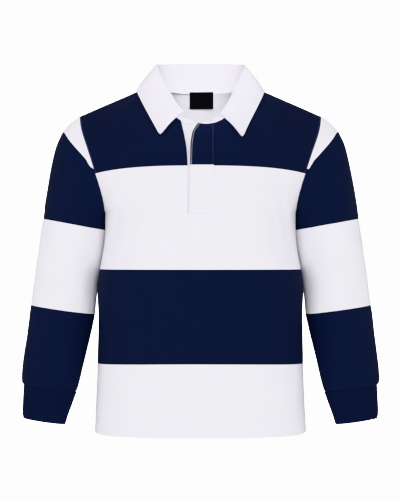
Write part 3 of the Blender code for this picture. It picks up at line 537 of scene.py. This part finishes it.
def hang_close(piece):
    """Draws the sleeve's inner side in to the body below the underarm, and the right sleeve's
    outer side a little out."""
    points = read_points(piece.data) / MM
    inner = ramp(np.abs(points[:, 0]), INNER_HALF, INNER_HALF - SIDE_FADE)
    for shift in HANGS_CLOSE:
        drawn = shift.much * inner * bell(points[:, 2] - shift.height, shift.reach)
        points[:, 0] -= np.sign(points[:, 0]) * drawn
    down = (SHOULDER_END[2] - points[:, 2]) / (SHOULDER_END[2] - WRIST_END[2])
    middle = SHOULDER_END[0] + down * (WRIST_END[0] - SHOULDER_END[0])
    outer = ramp(points[:, 0], middle, middle + SIDE_FADE)
    along = (points[:, 2] - RIGHT_OUT.height) / RIGHT_OUT.reach
    points[:, 0] += RIGHT_OUT.much * outer * np.exp(-along ** 4)
    write_points(piece.data, points * MM)


def beside(pieces):
    """A test of whether a point lies close to one of the pieces."""
    places = [vertex.co / MM for piece in pieces for vertex in piece.data.vertices]
    nearest = nearest_of(dict(enumerate(places)))
    return lambda point: nearest.find(point)[2] < SEAM_REACH


def trim_cap(cap, upper, at_yokes):
    """Moves the seam between the cap and the strip below it up the sleeve, most half way from the
    armhole to the top of the sleeve."""
    rim = {index: away for index, away in outward_at_edge(cap.data).items()
           if not at_yokes(cap.data.vertices[index].co / MM)}
    places = {index: cap.data.vertices[index].co / MM for index in rim}
    seam = nearest_of(places)
    held = (min(places.values(), key=lambda place: place.y),
            max(places.values(), key=lambda place: place.y),
            max(places.values(), key=lambda place: abs(place.x)))
    for mesh in (cap.data, upper.data):
        for vertex in mesh.vertices:
            _, index, off = seam.find(vertex.co / MM)
            free = min((vertex.co / MM - place).length for place in held) / TRIM_TAPER
            vertex.co -= rim[index] * TRIM * MM * min(free, 1) * bell(off, TRIM_REACH)


def close_tips(cap, upper, yokes):
    """Ends the cap's tips higher, and draws the strip below them in to the yokes' edge."""
    rim = [yoke.data.vertices[index].co for yoke in yokes for index in outward_at_edge(yoke.data)]
    armhole = nearest_of(dict(enumerate(rim)))
    for pick in (min, max):
        tip = pick(cap.data.vertices, key=lambda vertex: vertex.co.y).co.copy()
        near = [vertex.co for vertex in cap.data.vertices if (vertex.co - tip).length < TIP_SIZE * MM]
        raised = (sum(near, Vector()) / len(near) - tip).normalized() * TIP_RAISED * MM
        seam = [upper.data.vertices[index].co.copy() for index in outward_at_edge(upper.data)]
        corner = min(seam, key=lambda place: (place - tip - raised).length)
        gap = armhole.find(corner)[0] - corner
        for mesh, middle, move in ((cap.data, tip, raised), (upper.data, corner, gap)):
            for vertex in mesh.vertices:
                vertex.co += move * bell((vertex.co - middle).length, TIP_REACH * MM)


sleeve_parts = [(f"{strip.node}_{side}", strip) for strip in SLEEVE_STRIPS
                for side in ("left", "right")]
sleeve_cloth = {}
for node, strip in sleeve_parts:
    piece = fine_cloth(node, outer_side(node, JERSEY_WALL))
    lay_flat(piece, flat_sleeve, turn_length=SLEEVE_ROUND)
    hang_close(piece)
    sleeve_cloth[node] = piece
yokes = [cloth for node, cloth in body_cloth.items() if "yoke" in node]
at_yokes = beside(yokes)
for side in ("left", "right"):
    cap = sleeve_cloth[f"sleeve_cap_white_{side}"]
    upper = sleeve_cloth[f"sleeve_upper_navy_{side}"]
    trim_cap(cap, upper, at_yokes)
    close_tips(cap, upper, yokes)
for node, strip in sleeve_parts:
    settle(sleeve_cloth[node])
    thicken(sleeve_cloth[node], JERSEY_THICKNESS)
    dress(sleeve_cloth[node], node, jersey[strip.cloth])


# ---------------------------------------------------------------- Cuffs
# A cuff is a band of navy 1x1 rib, folded double at the wrist and stretched a little as it is sewn
# to the sleeve. The ribs run down it and draw it in. Geometry Nodes raise them on a smooth band.

CUFF_THICKNESS = 2.4
RIBS = 56
RIB_HEIGHT = 0.5
COLUMNS_PER_RIB = 8
CUFF_ROWS = 24
# The band's rings: the outermost and innermost point of each, half its depth and its middle.
CuffRing = namedtuple("CuffRing", "outer_x outer_z inner_x inner_z half_depth middle_y")
CUFF_RINGS = (
    CuffRing(264.2, -438.0, 185.5, -449.6, 27.0, -5.0),
    CuffRing(264.8, -449.5, 189.5, -460.6, 25.0, -5.4),
    CuffRing(265.3, -461.0, 193.5, -471.6, 23.2, -6.0),
    CuffRing(265.9, -474.5, 198.2, -484.5, 21.2, -7.0),
    CuffRing(265.6, -482.8, 200.4, -492.4, 19.6, -7.5),
    CuffRing(264.4, -488.0, 202.2, -497.4, 18.0, -7.7),
)


def quads(rows, columns, closed=False):
    """The faces of a grid of points. A closed grid joins its last column to its first."""
    faces = []
    for row in range(rows - 1):
        for column in range(columns if closed else columns - 1):
            following = (column + 1) % columns
            faces.append((row * columns + column, row * columns + following,
                          (row + 1) * columns + following, (row + 1) * columns + column))
    return faces


def smooth_band(name, mirrored):
    """The cuff's smooth outside, a tube of quads, with each point's turn kept for the ribs."""
    share = np.linspace(0, len(CUFF_RINGS) - 1, CUFF_ROWS + 1)
    rows = np.column_stack([np.interp(share, range(len(CUFF_RINGS)), sizes)
                            for sizes in zip(*CUFF_RINGS)])
    turn = np.linspace(0, 2 * math.pi, RIBS * COLUMNS_PER_RIB, endpoint=False)
    points = []
    for ring in (CuffRing(*row) for row in rows):
        x = (ring.outer_x + ring.inner_x) / 2 + (ring.outer_x - ring.inner_x) / 2 * np.cos(turn)
        y = ring.middle_y - ring.half_depth * np.sin(turn)
        z = (ring.outer_z + ring.inner_z) / 2 + (ring.outer_z - ring.inner_z) / 2 * np.cos(turn)
        points.append(np.column_stack((-x if mirrored else x, y, z)))
    faces = quads(len(rows), len(turn), closed=True)
    if mirrored:
        faces = [face[::-1] for face in faces]
    mesh = bpy.data.meshes.new(name)
    mesh.from_pydata((np.concatenate(points) * MM).tolist(), [], faces)
    kept = mesh.attributes.new("turn", "FLOAT", "POINT")
    kept.data.foreach_set("value", np.tile(turn, len(rows)))
    return mesh


def new_nodes(name, sizes):
    """A new Geometry Nodes tree with an input for each size named, and the node of its inputs."""
    tree = bpy.data.node_groups.new(name, "GeometryNodeTree")
    tree.interface.new_socket("Geometry", in_out="OUTPUT", socket_type="NodeSocketGeometry")
    tree.interface.new_socket("Geometry", in_out="INPUT", socket_type="NodeSocketGeometry")
    for size in sizes:
        tree.interface.new_socket(size, in_out="INPUT", socket_type="NodeSocketFloat")
    return tree, add(tree, "NodeGroupInput")


def end_nodes(tree, geometry, material):
    """Ends the tree with one plain mesh of the material."""
    whole = add(tree, "GeometryNodeRealizeInstances", {"Geometry": geometry})
    made = add(tree, "GeometryNodeSetMaterial", {"Geometry": whole.outputs[0], "Material": material})
    add(tree, "NodeGroupOutput", {"Geometry": made.outputs[0]})


def run_nodes(piece, tree, sizes):
    """Puts the piece through the tree with the sizes given by name, and keeps what it makes."""
    nodes = piece.modifiers.new(tree.name, "NODES")
    nodes.node_group = tree
    for socket in tree.interface.items_tree:
        if socket.name in sizes:
            nodes[socket.identifier] = float(sizes[socket.name])
    piece.data = as_made(piece)
    piece.modifiers.clear()


def rib_nodes(material):
    """Geometry Nodes that raise ribs along a tube from its points' turns."""
    tree, given = new_nodes("ribs", ("Ribs", "Height"))
    turn = add(tree, "GeometryNodeInputNamedAttribute", {"Name": "turn"}, data_type="FLOAT")
    phase = add(tree, "ShaderNodeMath", {0: turn.outputs[0], 1: given.outputs["Ribs"]},
                operation="MULTIPLY")
    wave = add(tree, "ShaderNodeMath", {0: phase.outputs[0]}, operation="COSINE")
    half = add(tree, "ShaderNodeMath", {0: given.outputs["Height"], 1: 0.5}, operation="MULTIPLY")
    lift = add(tree, "ShaderNodeMath", {0: wave.outputs[0], 1: half.outputs[0]}, operation="MULTIPLY")
    normal = add(tree, "GeometryNodeInputNormal")
    offset = add(tree, "ShaderNodeVectorMath", {0: normal.outputs[0], "Scale": lift.outputs[0]},
                 operation="SCALE")
    raised = add(tree, "GeometryNodeSetPosition", {"Geometry": given.outputs["Geometry"],
                                                   "Offset": offset.outputs[0]})
    end_nodes(tree, raised.outputs[0], material)
    return tree


# Cotton rib with a little elastane: the same dye as the jersey, a shade softer between the ribs.
ribbing = cotton("navy cotton rib", NAVY, knit_relief, relief_depth=0.15, roughness=0.92,
                 nap=0.02, nap_colour=NAVY_NAP)
ribs = rib_nodes(ribbing)
for side in ("left", "right"):
    node = f"cuff_rib_{side}"
    piece = new_piece(node + "_cloth", smooth_band(node, side == "left"))
    run_nodes(piece, ribs, {"Ribs": RIBS, "Height": RIB_HEIGHT * MM})
    lay_flat(piece, flat_sleeve, turn_length=SLEEVE_ROUND)
    thicken(piece, CUFF_THICKNESS)
    dress(piece, node, ribbing)


# ---------------------------------------------------------------- Placket
# The front opens down a slit to the middle of the chest. Its right side carries a doubled strip of
# jersey that follows the hoops and laps over a narrow underlap of twill. It hides its fastening
# and stands unfastened at the top, where its edge curls open.

OVERLAP_WALL = 2.2
UNDERLAP_WALL = 1.2
OVERLAP_THICKNESS = 2.0
UNDERLAP_THICKNESS = 1.1
PLACKET_STRIPS = (
    Strip("placket_navy", "navy", 36, 65, 0.0021),
    Strip("placket_white", "white", 36, 68, 0.0024),
)
SEWN_DOWN = 17.4                # right of this the overlap is sewn to the front
HOOP_HEIGHT = -113.7            # where its navy and white strips meet
HOOP_LIFT = 1.1                 # and how much higher than on the solids
HOOP_REACH = 6
TWILL_PITCH = 0.75
TWILL_TURN = 18


def thread_ribs(tree, place, direction, pitch, distortion=0):
    """Ribs of thread, a pitch apart. Blender's bands turn through 20 radians in each unit along an
    axis, and through 10 times the root of 3 along the diagonal."""
    radians = 10 * math.sqrt(3) if direction == "DIAGONAL" else 20
    scale = 2 * math.pi / (radians * pitch * MM)
    ribs = add(tree, "ShaderNodeTexWave", {"Vector": place, "Scale": scale, "Detail": 1,
                                           "Distortion": distortion},
               wave_type="BANDS", bands_direction=direction)
    return ribs.outputs["Fac"]


def twill_relief(tree):
    """The diagonal ribs of twill, a thread or two wide."""
    place = add(tree, "ShaderNodeTexCoord")
    turned = add(tree, "ShaderNodeMapping", {"Vector": place.outputs["Object"],
                                             "Rotation": (0, math.radians(TWILL_TURN), 0)})
    return thread_ribs(tree, turned.outputs[0], "DIAGONAL", TWILL_PITCH, distortion=0.6)


# Cotton drill, bleached and pressed: whiter and crisper than the jersey, with the weave's fine
# diagonal just to be seen from near by.
twill = cotton("white cotton twill", "D9D7DF", twill_relief, relief_depth=0.04, roughness=0.85,
               nap=0.03, nap_colour=WHITE_NAP, mottle=0.015)

placket_cloth = {}
for strip in PLACKET_STRIPS:
    piece = fine_cloth(strip.node, outer_side(strip.node, OVERLAP_WALL))
    for vertex in piece.data.vertices:
        vertex.co.z += HOOP_LIFT * MM * bell(vertex.co.z / MM - HOOP_HEIGHT, HOOP_REACH)
    lay_flat(piece, flat_hoop)
    settle(piece, sewn=lambda point: point[0] > SEWN_DOWN, pucker=0.6)
    thicken(piece, OVERLAP_THICKNESS)
    dress(piece, strip.node, jersey[strip.cloth])
    placket_cloth[strip.node] = piece
underlap = fine_cloth("placket_underlap", outer_side("placket_underlap", UNDERLAP_WALL))
lay_flat(underlap, flat_hoop)
settle(underlap, sewn=lambda point: False)
thicken(underlap, UNDERLAP_THICKNESS)
dress(underlap, "placket_underlap", twill)


# ---------------------------------------------------------------- Collar
# A classic turned-down collar of doubled white twill on a low stand, sewn to the neckline. It
# rolls over itself at the top, falls over the shoulders and ends in two points.

TWILL_WALL = 1.8
TWILL_THICKNESS = 1.8
LEAF_CUT = Strip("collar_leaf", "white", 480, 66, 0.0237)
STAND_CUT = Strip("collar_stand", "white", 370, 32, 0.0093)
POINT_BLUNTED = 2.6             # a turned-out collar point isn't quite sharp
POINT_REACH = 9
EASE_REACH = 45
POINT_EASE = {-1: (1.9, 0, 0.3), 1: (-4.2, 0, 1.0)}     # how each point lies off the solid's


def shape_points(mesh):
    """Rounds the collar's two points and eases them to where they lie."""
    edge = outward_at_edge(mesh)
    for side, ease in POINT_EASE.items():
        points = read_points(mesh) / MM
        tip = min((index for index in edge if points[index, 0] * side > 0), key=lambda i: points[i, 2])
        away = np.linalg.norm(points - points[tip], axis=1)
        blunt = POINT_BLUNTED * ramp(away, POINT_REACH, 0) ** 2
        points += np.outer(bell(away, EASE_REACH), ease) - np.outer(blunt, edge[tip])
        write_points(mesh, points * MM)


stand = fine_cloth("collar_stand", outer_side("collar_stand", TWILL_WALL, corner=50, rank=1))
lay_flat(stand, flat_yoke)
settle(stand, pucker=0.3, push=0.3)
leaf = fine_cloth("collar_leaf", outer_side("collar_leaf", TWILL_WALL))
lay_flat(leaf, flat_yoke)
settle(leaf, sewn=beside([stand]), pucker=0.2, push=0.45)
shape_points(leaf.data)
for piece, cut in ((stand, STAND_CUT), (leaf, LEAF_CUT)):
    thicken(piece, TWILL_THICKNESS)
    dress(piece, cut.node, twill)


# ---------------------------------------------------------------- Neck finish
# Inside the back of the neck a facing of white twill covers the seam and carries a plain black
# label of woven tape. The neckband's two ends show between the collar's ends and the placket.

FACING_CUT = Strip("neck_facing", "white", 165, 58, 0.0087)
END_OVER_CUT = Strip("neckband_end_over", "white", 20, 10, 8e-05)
END_UNDER_CUT = Strip("neckband_end_under", "white", 20, 10, 0.00014)
LABEL_CUT = Strip("neck_label", "black", 36.5, 31, None)
TAPE_WALL = 1.0
TAPE_THICKNESS = 1.0
TAPE_WARP = 0.449
TAPE_WEFT = 0.604
LABEL_SHORTENED = 0.93
LABEL_MOVED = (-0.4, -2.9, 1.6)
END_OVER_LOWERED = 0.62
END_UNDER_DRAWN_OUT = (-6.0, 0, 1.4)
# A narrow twill tape covers the neck seam. Its rows run along the stand's lower edge, so far below
# it and so far in from the stand's inner side.
TapeRow = namedtuple("TapeRow", "below inside")
TAPE_ROWS = (TapeRow(4.5, 1.6), TapeRow(2.0, 1.7), TapeRow(0.0, 1.0), TapeRow(-3.5, 0.6))
NECK_TAPE_THICKNESS = 0.5
LOWER_EDGE = -0.3               # on it the way out of the cloth points down by at least this share


def tape_relief(tree):
    """A close plain weave, like fine ribbon."""
    place = add(tree, "ShaderNodeTexCoord").outputs["Object"]
    return add(tree, "ShaderNodeMath", {0: thread_ribs(tree, place, "X", TAPE_WARP),
                                        1: thread_ribs(tree, place, "Z", TAPE_WEFT)},
               operation="MULTIPLY").outputs[0]


def lay_label(points):
    """Shortens the label a little and lays it over the neck tape."""
    top = points[:, 2].max()
    points[:, 2] = top - (top - points[:, 2]) * LABEL_SHORTENED
    return points + LABEL_MOVED


def lower_end(points):
    """Lowers the upper edge of the neckband's end."""
    low = points[:, 2].min()
    points[:, 2] = low + (points[:, 2] - low) * END_OVER_LOWERED
    return points


def draw_out_end(points):
    """Draws the neckband's end out until it meets the collar."""
    return points + np.outer(ramp(points[:, 0], points[:, 0].max(), points[:, 0].min()),
                             END_UNDER_DRAWN_OUT)


def tape_along(stand, sewn):
    """The neck tape, along the stand's lower edge where sewn(point) is true."""
    points = stand.data.vertices
    rim = {index: away for index, away in outward_at_edge(stand.data).items()
           if sewn(points[index].co / MM) and away.z < LOWER_EDGE}
    order = sorted(rim, key=lambda index: math.atan2(points[index].co.x, points[index].co.y))
    places = [points[index].co + (rim[index] * row.below + points[index].normal * row.inside) * MM
              for row in TAPE_ROWS for index in order]
    mesh = bpy.data.meshes.new("neck_tape")
    mesh.from_pydata(places, [], quads(len(TAPE_ROWS), len(order)))
    return mesh


# Polyester satin tape: black, close woven and a little shinier than the cotton round it.
tape = cotton("black woven polyester tape", "121113", tape_relief, relief_depth=0.08, roughness=0.5,
              nap=0, nap_colour="808080", mottle=0.1, specular=0.4)

Finish = namedtuple("Finish", "cut wall material slot reshape")
FINISHES = (
    Finish(FACING_CUT, TAPE_WALL, twill, "white_twill", None),
    Finish(END_OVER_CUT, TWILL_WALL, twill, "white_twill", lower_end),
    Finish(END_UNDER_CUT, TWILL_WALL, twill, "white_twill", draw_out_end),
    Finish(LABEL_CUT, TAPE_WALL, tape, "black_tape", lay_label),
)
finish_cloth = {}
for finish in FINISHES:
    node = finish.cut.node
    piece = fine_cloth(node, outer_side(node, finish.wall), fineness=2)
    settle(piece, sewn=lambda point: False)
    if finish.reshape:
        write_points(piece.data, finish.reshape(read_points(piece.data) / MM) * MM)
    thicken(piece, TAPE_THICKNESS)
    dress(piece, node, finish.material)
    finish_cloth[node] = piece

neck_tape = new_piece("neck_tape", tape_along(stand, at_yokes))
neck_tape.data.materials.append(twill)
thicken(neck_tape, NECK_TAPE_THICKNESS)
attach(neck_tape, "root")


# ---------------------------------------------------------------- Stitching
# Polyester sewing thread, white on the white cloth, its colour greyed a little with painted shade of
# the dents the stitches sink into, and a dull blue-grey beside the armholes: twin rows round the hem,
# single rows along the placket, the collar's edge and the armholes. Geometry Nodes lay one small
# rounded stitch after another along each row.

STITCH_PITCH = 3.4              # drawn longer than the real 2.5 mm, which would hardly show
STITCH_LENGTH = 2.5
THREAD_WIDTH = 0.45
THREAD_LIFT = 0.1               # how far off the cloth the middle of a stitch lies
HEM_ROWS = (-490, -484)         # heights of rows that go straight round
FOOT_ROW = -177.3
WHITE_PLACKET_INSET = 1.4       # how far in from the cloth's edge the other rows run
NAVY_PLACKET_INSET = 1.2
OPENING_INSET = 2.2
LEAF_INSET = 5
FACING_INSET = 2
ARMHOLE_INSET = 1.8
Row = namedtuple("Row", "places links")


def as_row(piece, places, links):
    """A row of places moved onto the piece's cloth and just off it, and the links between them."""
    mesh = piece.data
    sheet = BVHTree.FromPolygons([vertex.co for vertex in mesh.vertices],
                                 [face.vertices for face in mesh.polygons])
    found = [sheet.find_nearest(place) for place in places]
    return Row([place + normal * THREAD_LIFT * MM for place, normal, _, _ in found], links)


def edge_row(piece, inset, sewn):
    """A row so far in from the piece's edge, where sewn(point, the way out there) is true."""
    mesh = piece.data
    rim = {index: away for index, away in outward_at_edge(mesh).items()
           if sewn(mesh.vertices[index].co / MM, away)}
    order = {index: number for number, index in enumerate(rim)}
    owners = Counter(key for face in mesh.polygons for key in face.edge_keys)
    links = [(order[a], order[b]) for (a, b), count in owners.items()
             if count == 1 and a in order and b in order]
    places = [mesh.vertices[index].co - away * inset * MM for index, away in rim.items()]
    return as_row(piece, places, links)


def level_row(piece, height):
    """A row across the piece at one height."""
    work = bmesh.new()
    work.from_mesh(piece.data)
    cut = bmesh.ops.bisect_plane(work, geom=work.verts[:] + work.edges[:] + work.faces[:],
                                 plane_co=(0, 0, height * MM), plane_no=(0, 0, 1))["geom_cut"]
    corners = [item for item in cut if isinstance(item, bmesh.types.BMVert)]
    order = {corner: number for number, corner in enumerate(corners)}
    links = [tuple(order[corner] for corner in item.verts) for item in cut
             if isinstance(item, bmesh.types.BMEdge)]
    places = [corner.co.copy() for corner in corners]
    work.free()
    return as_row(piece, places, links)


def stitch_nodes(thread):
    """Geometry Nodes that lay stitches along a mesh of edges."""
    tree, given = new_nodes("stitches", ("Pitch", "Length", "Width"))
    curve = add(tree, "GeometryNodeMeshToCurve", {"Mesh": given.outputs["Geometry"]})
    even = add(tree, "GeometryNodeResampleCurve", {"Curve": curve.outputs[0],
                                                   "Length": given.outputs["Pitch"]}, mode="LENGTH")
    bead = add(tree, "GeometryNodeMeshUVSphere", {"Segments": 6, "Rings": 4, "Radius": 0.5})
    smooth = add(tree, "GeometryNodeSetShadeSmooth", {"Geometry": bead.outputs[0]})
    size = add(tree, "ShaderNodeCombineXYZ", {"X": given.outputs["Width"], "Y": given.outputs["Width"],
                                              "Z": given.outputs["Length"]})
    stitch = add(tree, "GeometryNodeTransform", {"Geometry": smooth.outputs[0],
                                                 "Scale": size.outputs[0]})
    along = add(tree, "GeometryNodeInputTangent")
    turn = add(tree, "FunctionNodeAlignRotationToVector", {"Vector": along.outputs[0]}, axis="Z")
    laid = add(tree, "GeometryNodeInstanceOnPoints", {"Points": even.outputs[0],
                                                      "Instance": stitch.outputs[0],
                                                      "Rotation": turn.outputs[0]})
    end_nodes(tree, laid.outputs[0], thread)
    return tree


def sew(name, rows, thread, width=THREAD_WIDTH, pitch=STITCH_PITCH):
    """Sews the rows as one piece."""
    places, links = [], []
    for row in rows:
        links += [(a + len(places), b + len(places)) for a, b in row.links]
        places += row.places
    mesh = bpy.data.meshes.new(name)
    mesh.from_pydata(places, links, [])
    piece = new_piece(name, mesh)
    run_nodes(piece, stitch_nodes(thread), {"Pitch": pitch * MM, "Length": STITCH_LENGTH * MM,
                                            "Width": width * MM})
    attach(piece, "root")


def plain_thread(name, colour):
    """Spun polyester thread: smooth, with a slight silky shine."""
    material = bpy.data.materials.new(name)
    material.use_nodes = True
    shader = material.node_tree.nodes["Principled BSDF"]
    shader.inputs["Base Color"].default_value = linear(colour)
    shader.inputs["Roughness"].default_value = 0.6
    shader.inputs["Sheen Weight"].default_value = 0.1
    return material


# Each row keeps to one edge of its piece, told by its place or by the way out of the cloth there.
# The white thread is greyer than the white cloth: its own white, darkened with painted shade of the
# dents the stitches sink into.
white_thread_with_painted_shade = plain_thread("white polyester thread with painted dent shade", "DAD8E0")
grey_thread = plain_thread("blue-grey polyester thread", "7C84A8")
navy_part, white_part = placket_cloth["placket_navy"], placket_cloth["placket_white"]
in_sleeves = beside([cloth for node, cloth in sleeve_cloth.items() if "fore" not in node])
in_stand = beside([stand])
white_rows = [level_row(body_cloth[f"{side}_hem_white"], height)
              for side in ("front", "back") for height in HEM_ROWS]
white_rows += [
    level_row(white_part, FOOT_ROW),
    edge_row(white_part, WHITE_PLACKET_INSET, sewn=lambda point, away: away.z < 0.7),
    edge_row(leaf, LEAF_INSET, sewn=lambda point, away: not in_stand(point)),
    edge_row(finish_cloth["neck_facing"], FACING_INSET, sewn=lambda point, away: away.z < 0.5),
]
sew("stitching_on_white", white_rows, white_thread_with_painted_shade)
armhole_rows = [edge_row(yoke, ARMHOLE_INSET, sewn=lambda point, away: in_sleeves(point))
                for yoke in yokes]
sew("stitching_at_yokess", armhole_rows, grey_thread, width=0.4)
seam_row = edge_row(navy_part, NAVY_PLACKET_INSET, sewn=lambda point, away: away.x > 0.6)
sew("stitching_on_placket", [seam_row], grey_thread, width=0.35)
opening_row = edge_row(navy_part, OPENING_INSET, sewn=lambda point, away: away.x < -0.5)
sew("stitching_on_opening", [opening_row], white_thread_with_painted_shade, width=0.6, pitch=2.6)


# ---------------------------------------------------------------- Floor, light and camera
# A plain pale floor far below the shirt in a white studio. A broad softbox behind the camera gives
# most of the light, with a little more from the left and a narrow one that looks into the neck.

FLOOR_HEIGHT = -1.2
FLOOR_RADIUS = 3.3
ROOM_LIGHT = 0.75
BACKDROP_LIGHT = 3.7            # the white paper behind is lit on its own, until it burns out
Softbox = namedtuple("Softbox", "name place aim size spread power")
SOFTBOXES = (
    Softbox("front", (0, -3.2, 0.0), (0, 0, -0.25), 2.4, 180, 62),
    Softbox("left", (-2.3, -2.3, 0.2), (0, 0, -0.25), 2.4, 180, 6),
    Softbox("neck", (0, -1.3, 0.42), (0, 0.03, 0.0), 0.1, 9, 0.07),
)
CAMERA_PLACE = (-0.0006, -2.4, -0.237)
CAMERA_LENS = 115.2

floor_mesh = bpy.data.meshes.new("floor")
disc = bmesh.new()
bmesh.ops.create_circle(disc, cap_ends=True, segments=96, radius=FLOOR_RADIUS)
disc.to_mesh(floor_mesh)
disc.free()
floor_mesh.transform(Matrix.Translation((0, 0, FLOOR_HEIGHT)))
paper = bpy.data.materials.new("white studio paper")
paper.use_nodes = True
shader = paper.node_tree.nodes["Principled BSDF"]
shader.inputs["Base Color"].default_value = linear("F4F4F5")
shader.inputs["Roughness"].default_value = 1.0
shader.inputs["Specular IOR Level"].default_value = 0.0
floor_mesh.materials.append(paper)
new_piece("floor", floor_mesh)

world = bpy.data.worlds.new("white studio")
bpy.context.scene.world = world
world.use_nodes = True
tree = world.node_tree
room = tree.nodes["Background"]
room.inputs["Color"].default_value = linear("FFFFFF")
room.inputs["Strength"].default_value = ROOM_LIGHT
backdrop = add(tree, "ShaderNodeBackground", {"Color": linear("FFFFFF"), "Strength": BACKDROP_LIGHT})
ray = add(tree, "ShaderNodeLightPath")
either = add(tree, "ShaderNodeMixShader", {0: ray.outputs["Is Camera Ray"], 1: room.outputs[0],
                                           2: backdrop.outputs[0]})
tree.links.new(either.outputs[0], tree.nodes["World Output"].inputs["Surface"])

for box in SOFTBOXES:
    lamp = bpy.data.lights.new(box.name, "AREA")
    lamp.shape = "SQUARE"
    lamp.size = box.size
    lamp.spread = math.radians(box.spread)
    lamp.energy = box.power
    holder = new_piece(box.name, lamp)
    holder.location = box.place
    holder.rotation_euler = (Vector(box.aim) - Vector(box.place)).to_track_quat("-Z", "Y").to_euler()

camera = bpy.data.cameras.new("camera")
camera.lens = CAMERA_LENS
viewer = new_piece("camera", camera)
viewer.location = CAMERA_PLACE
viewer.rotation_euler = (math.radians(90), 0, 0)
bpy.context.scene.camera = viewer
bpy.context.scene.view_settings.view_transform = "Khronos PBR Neutral"
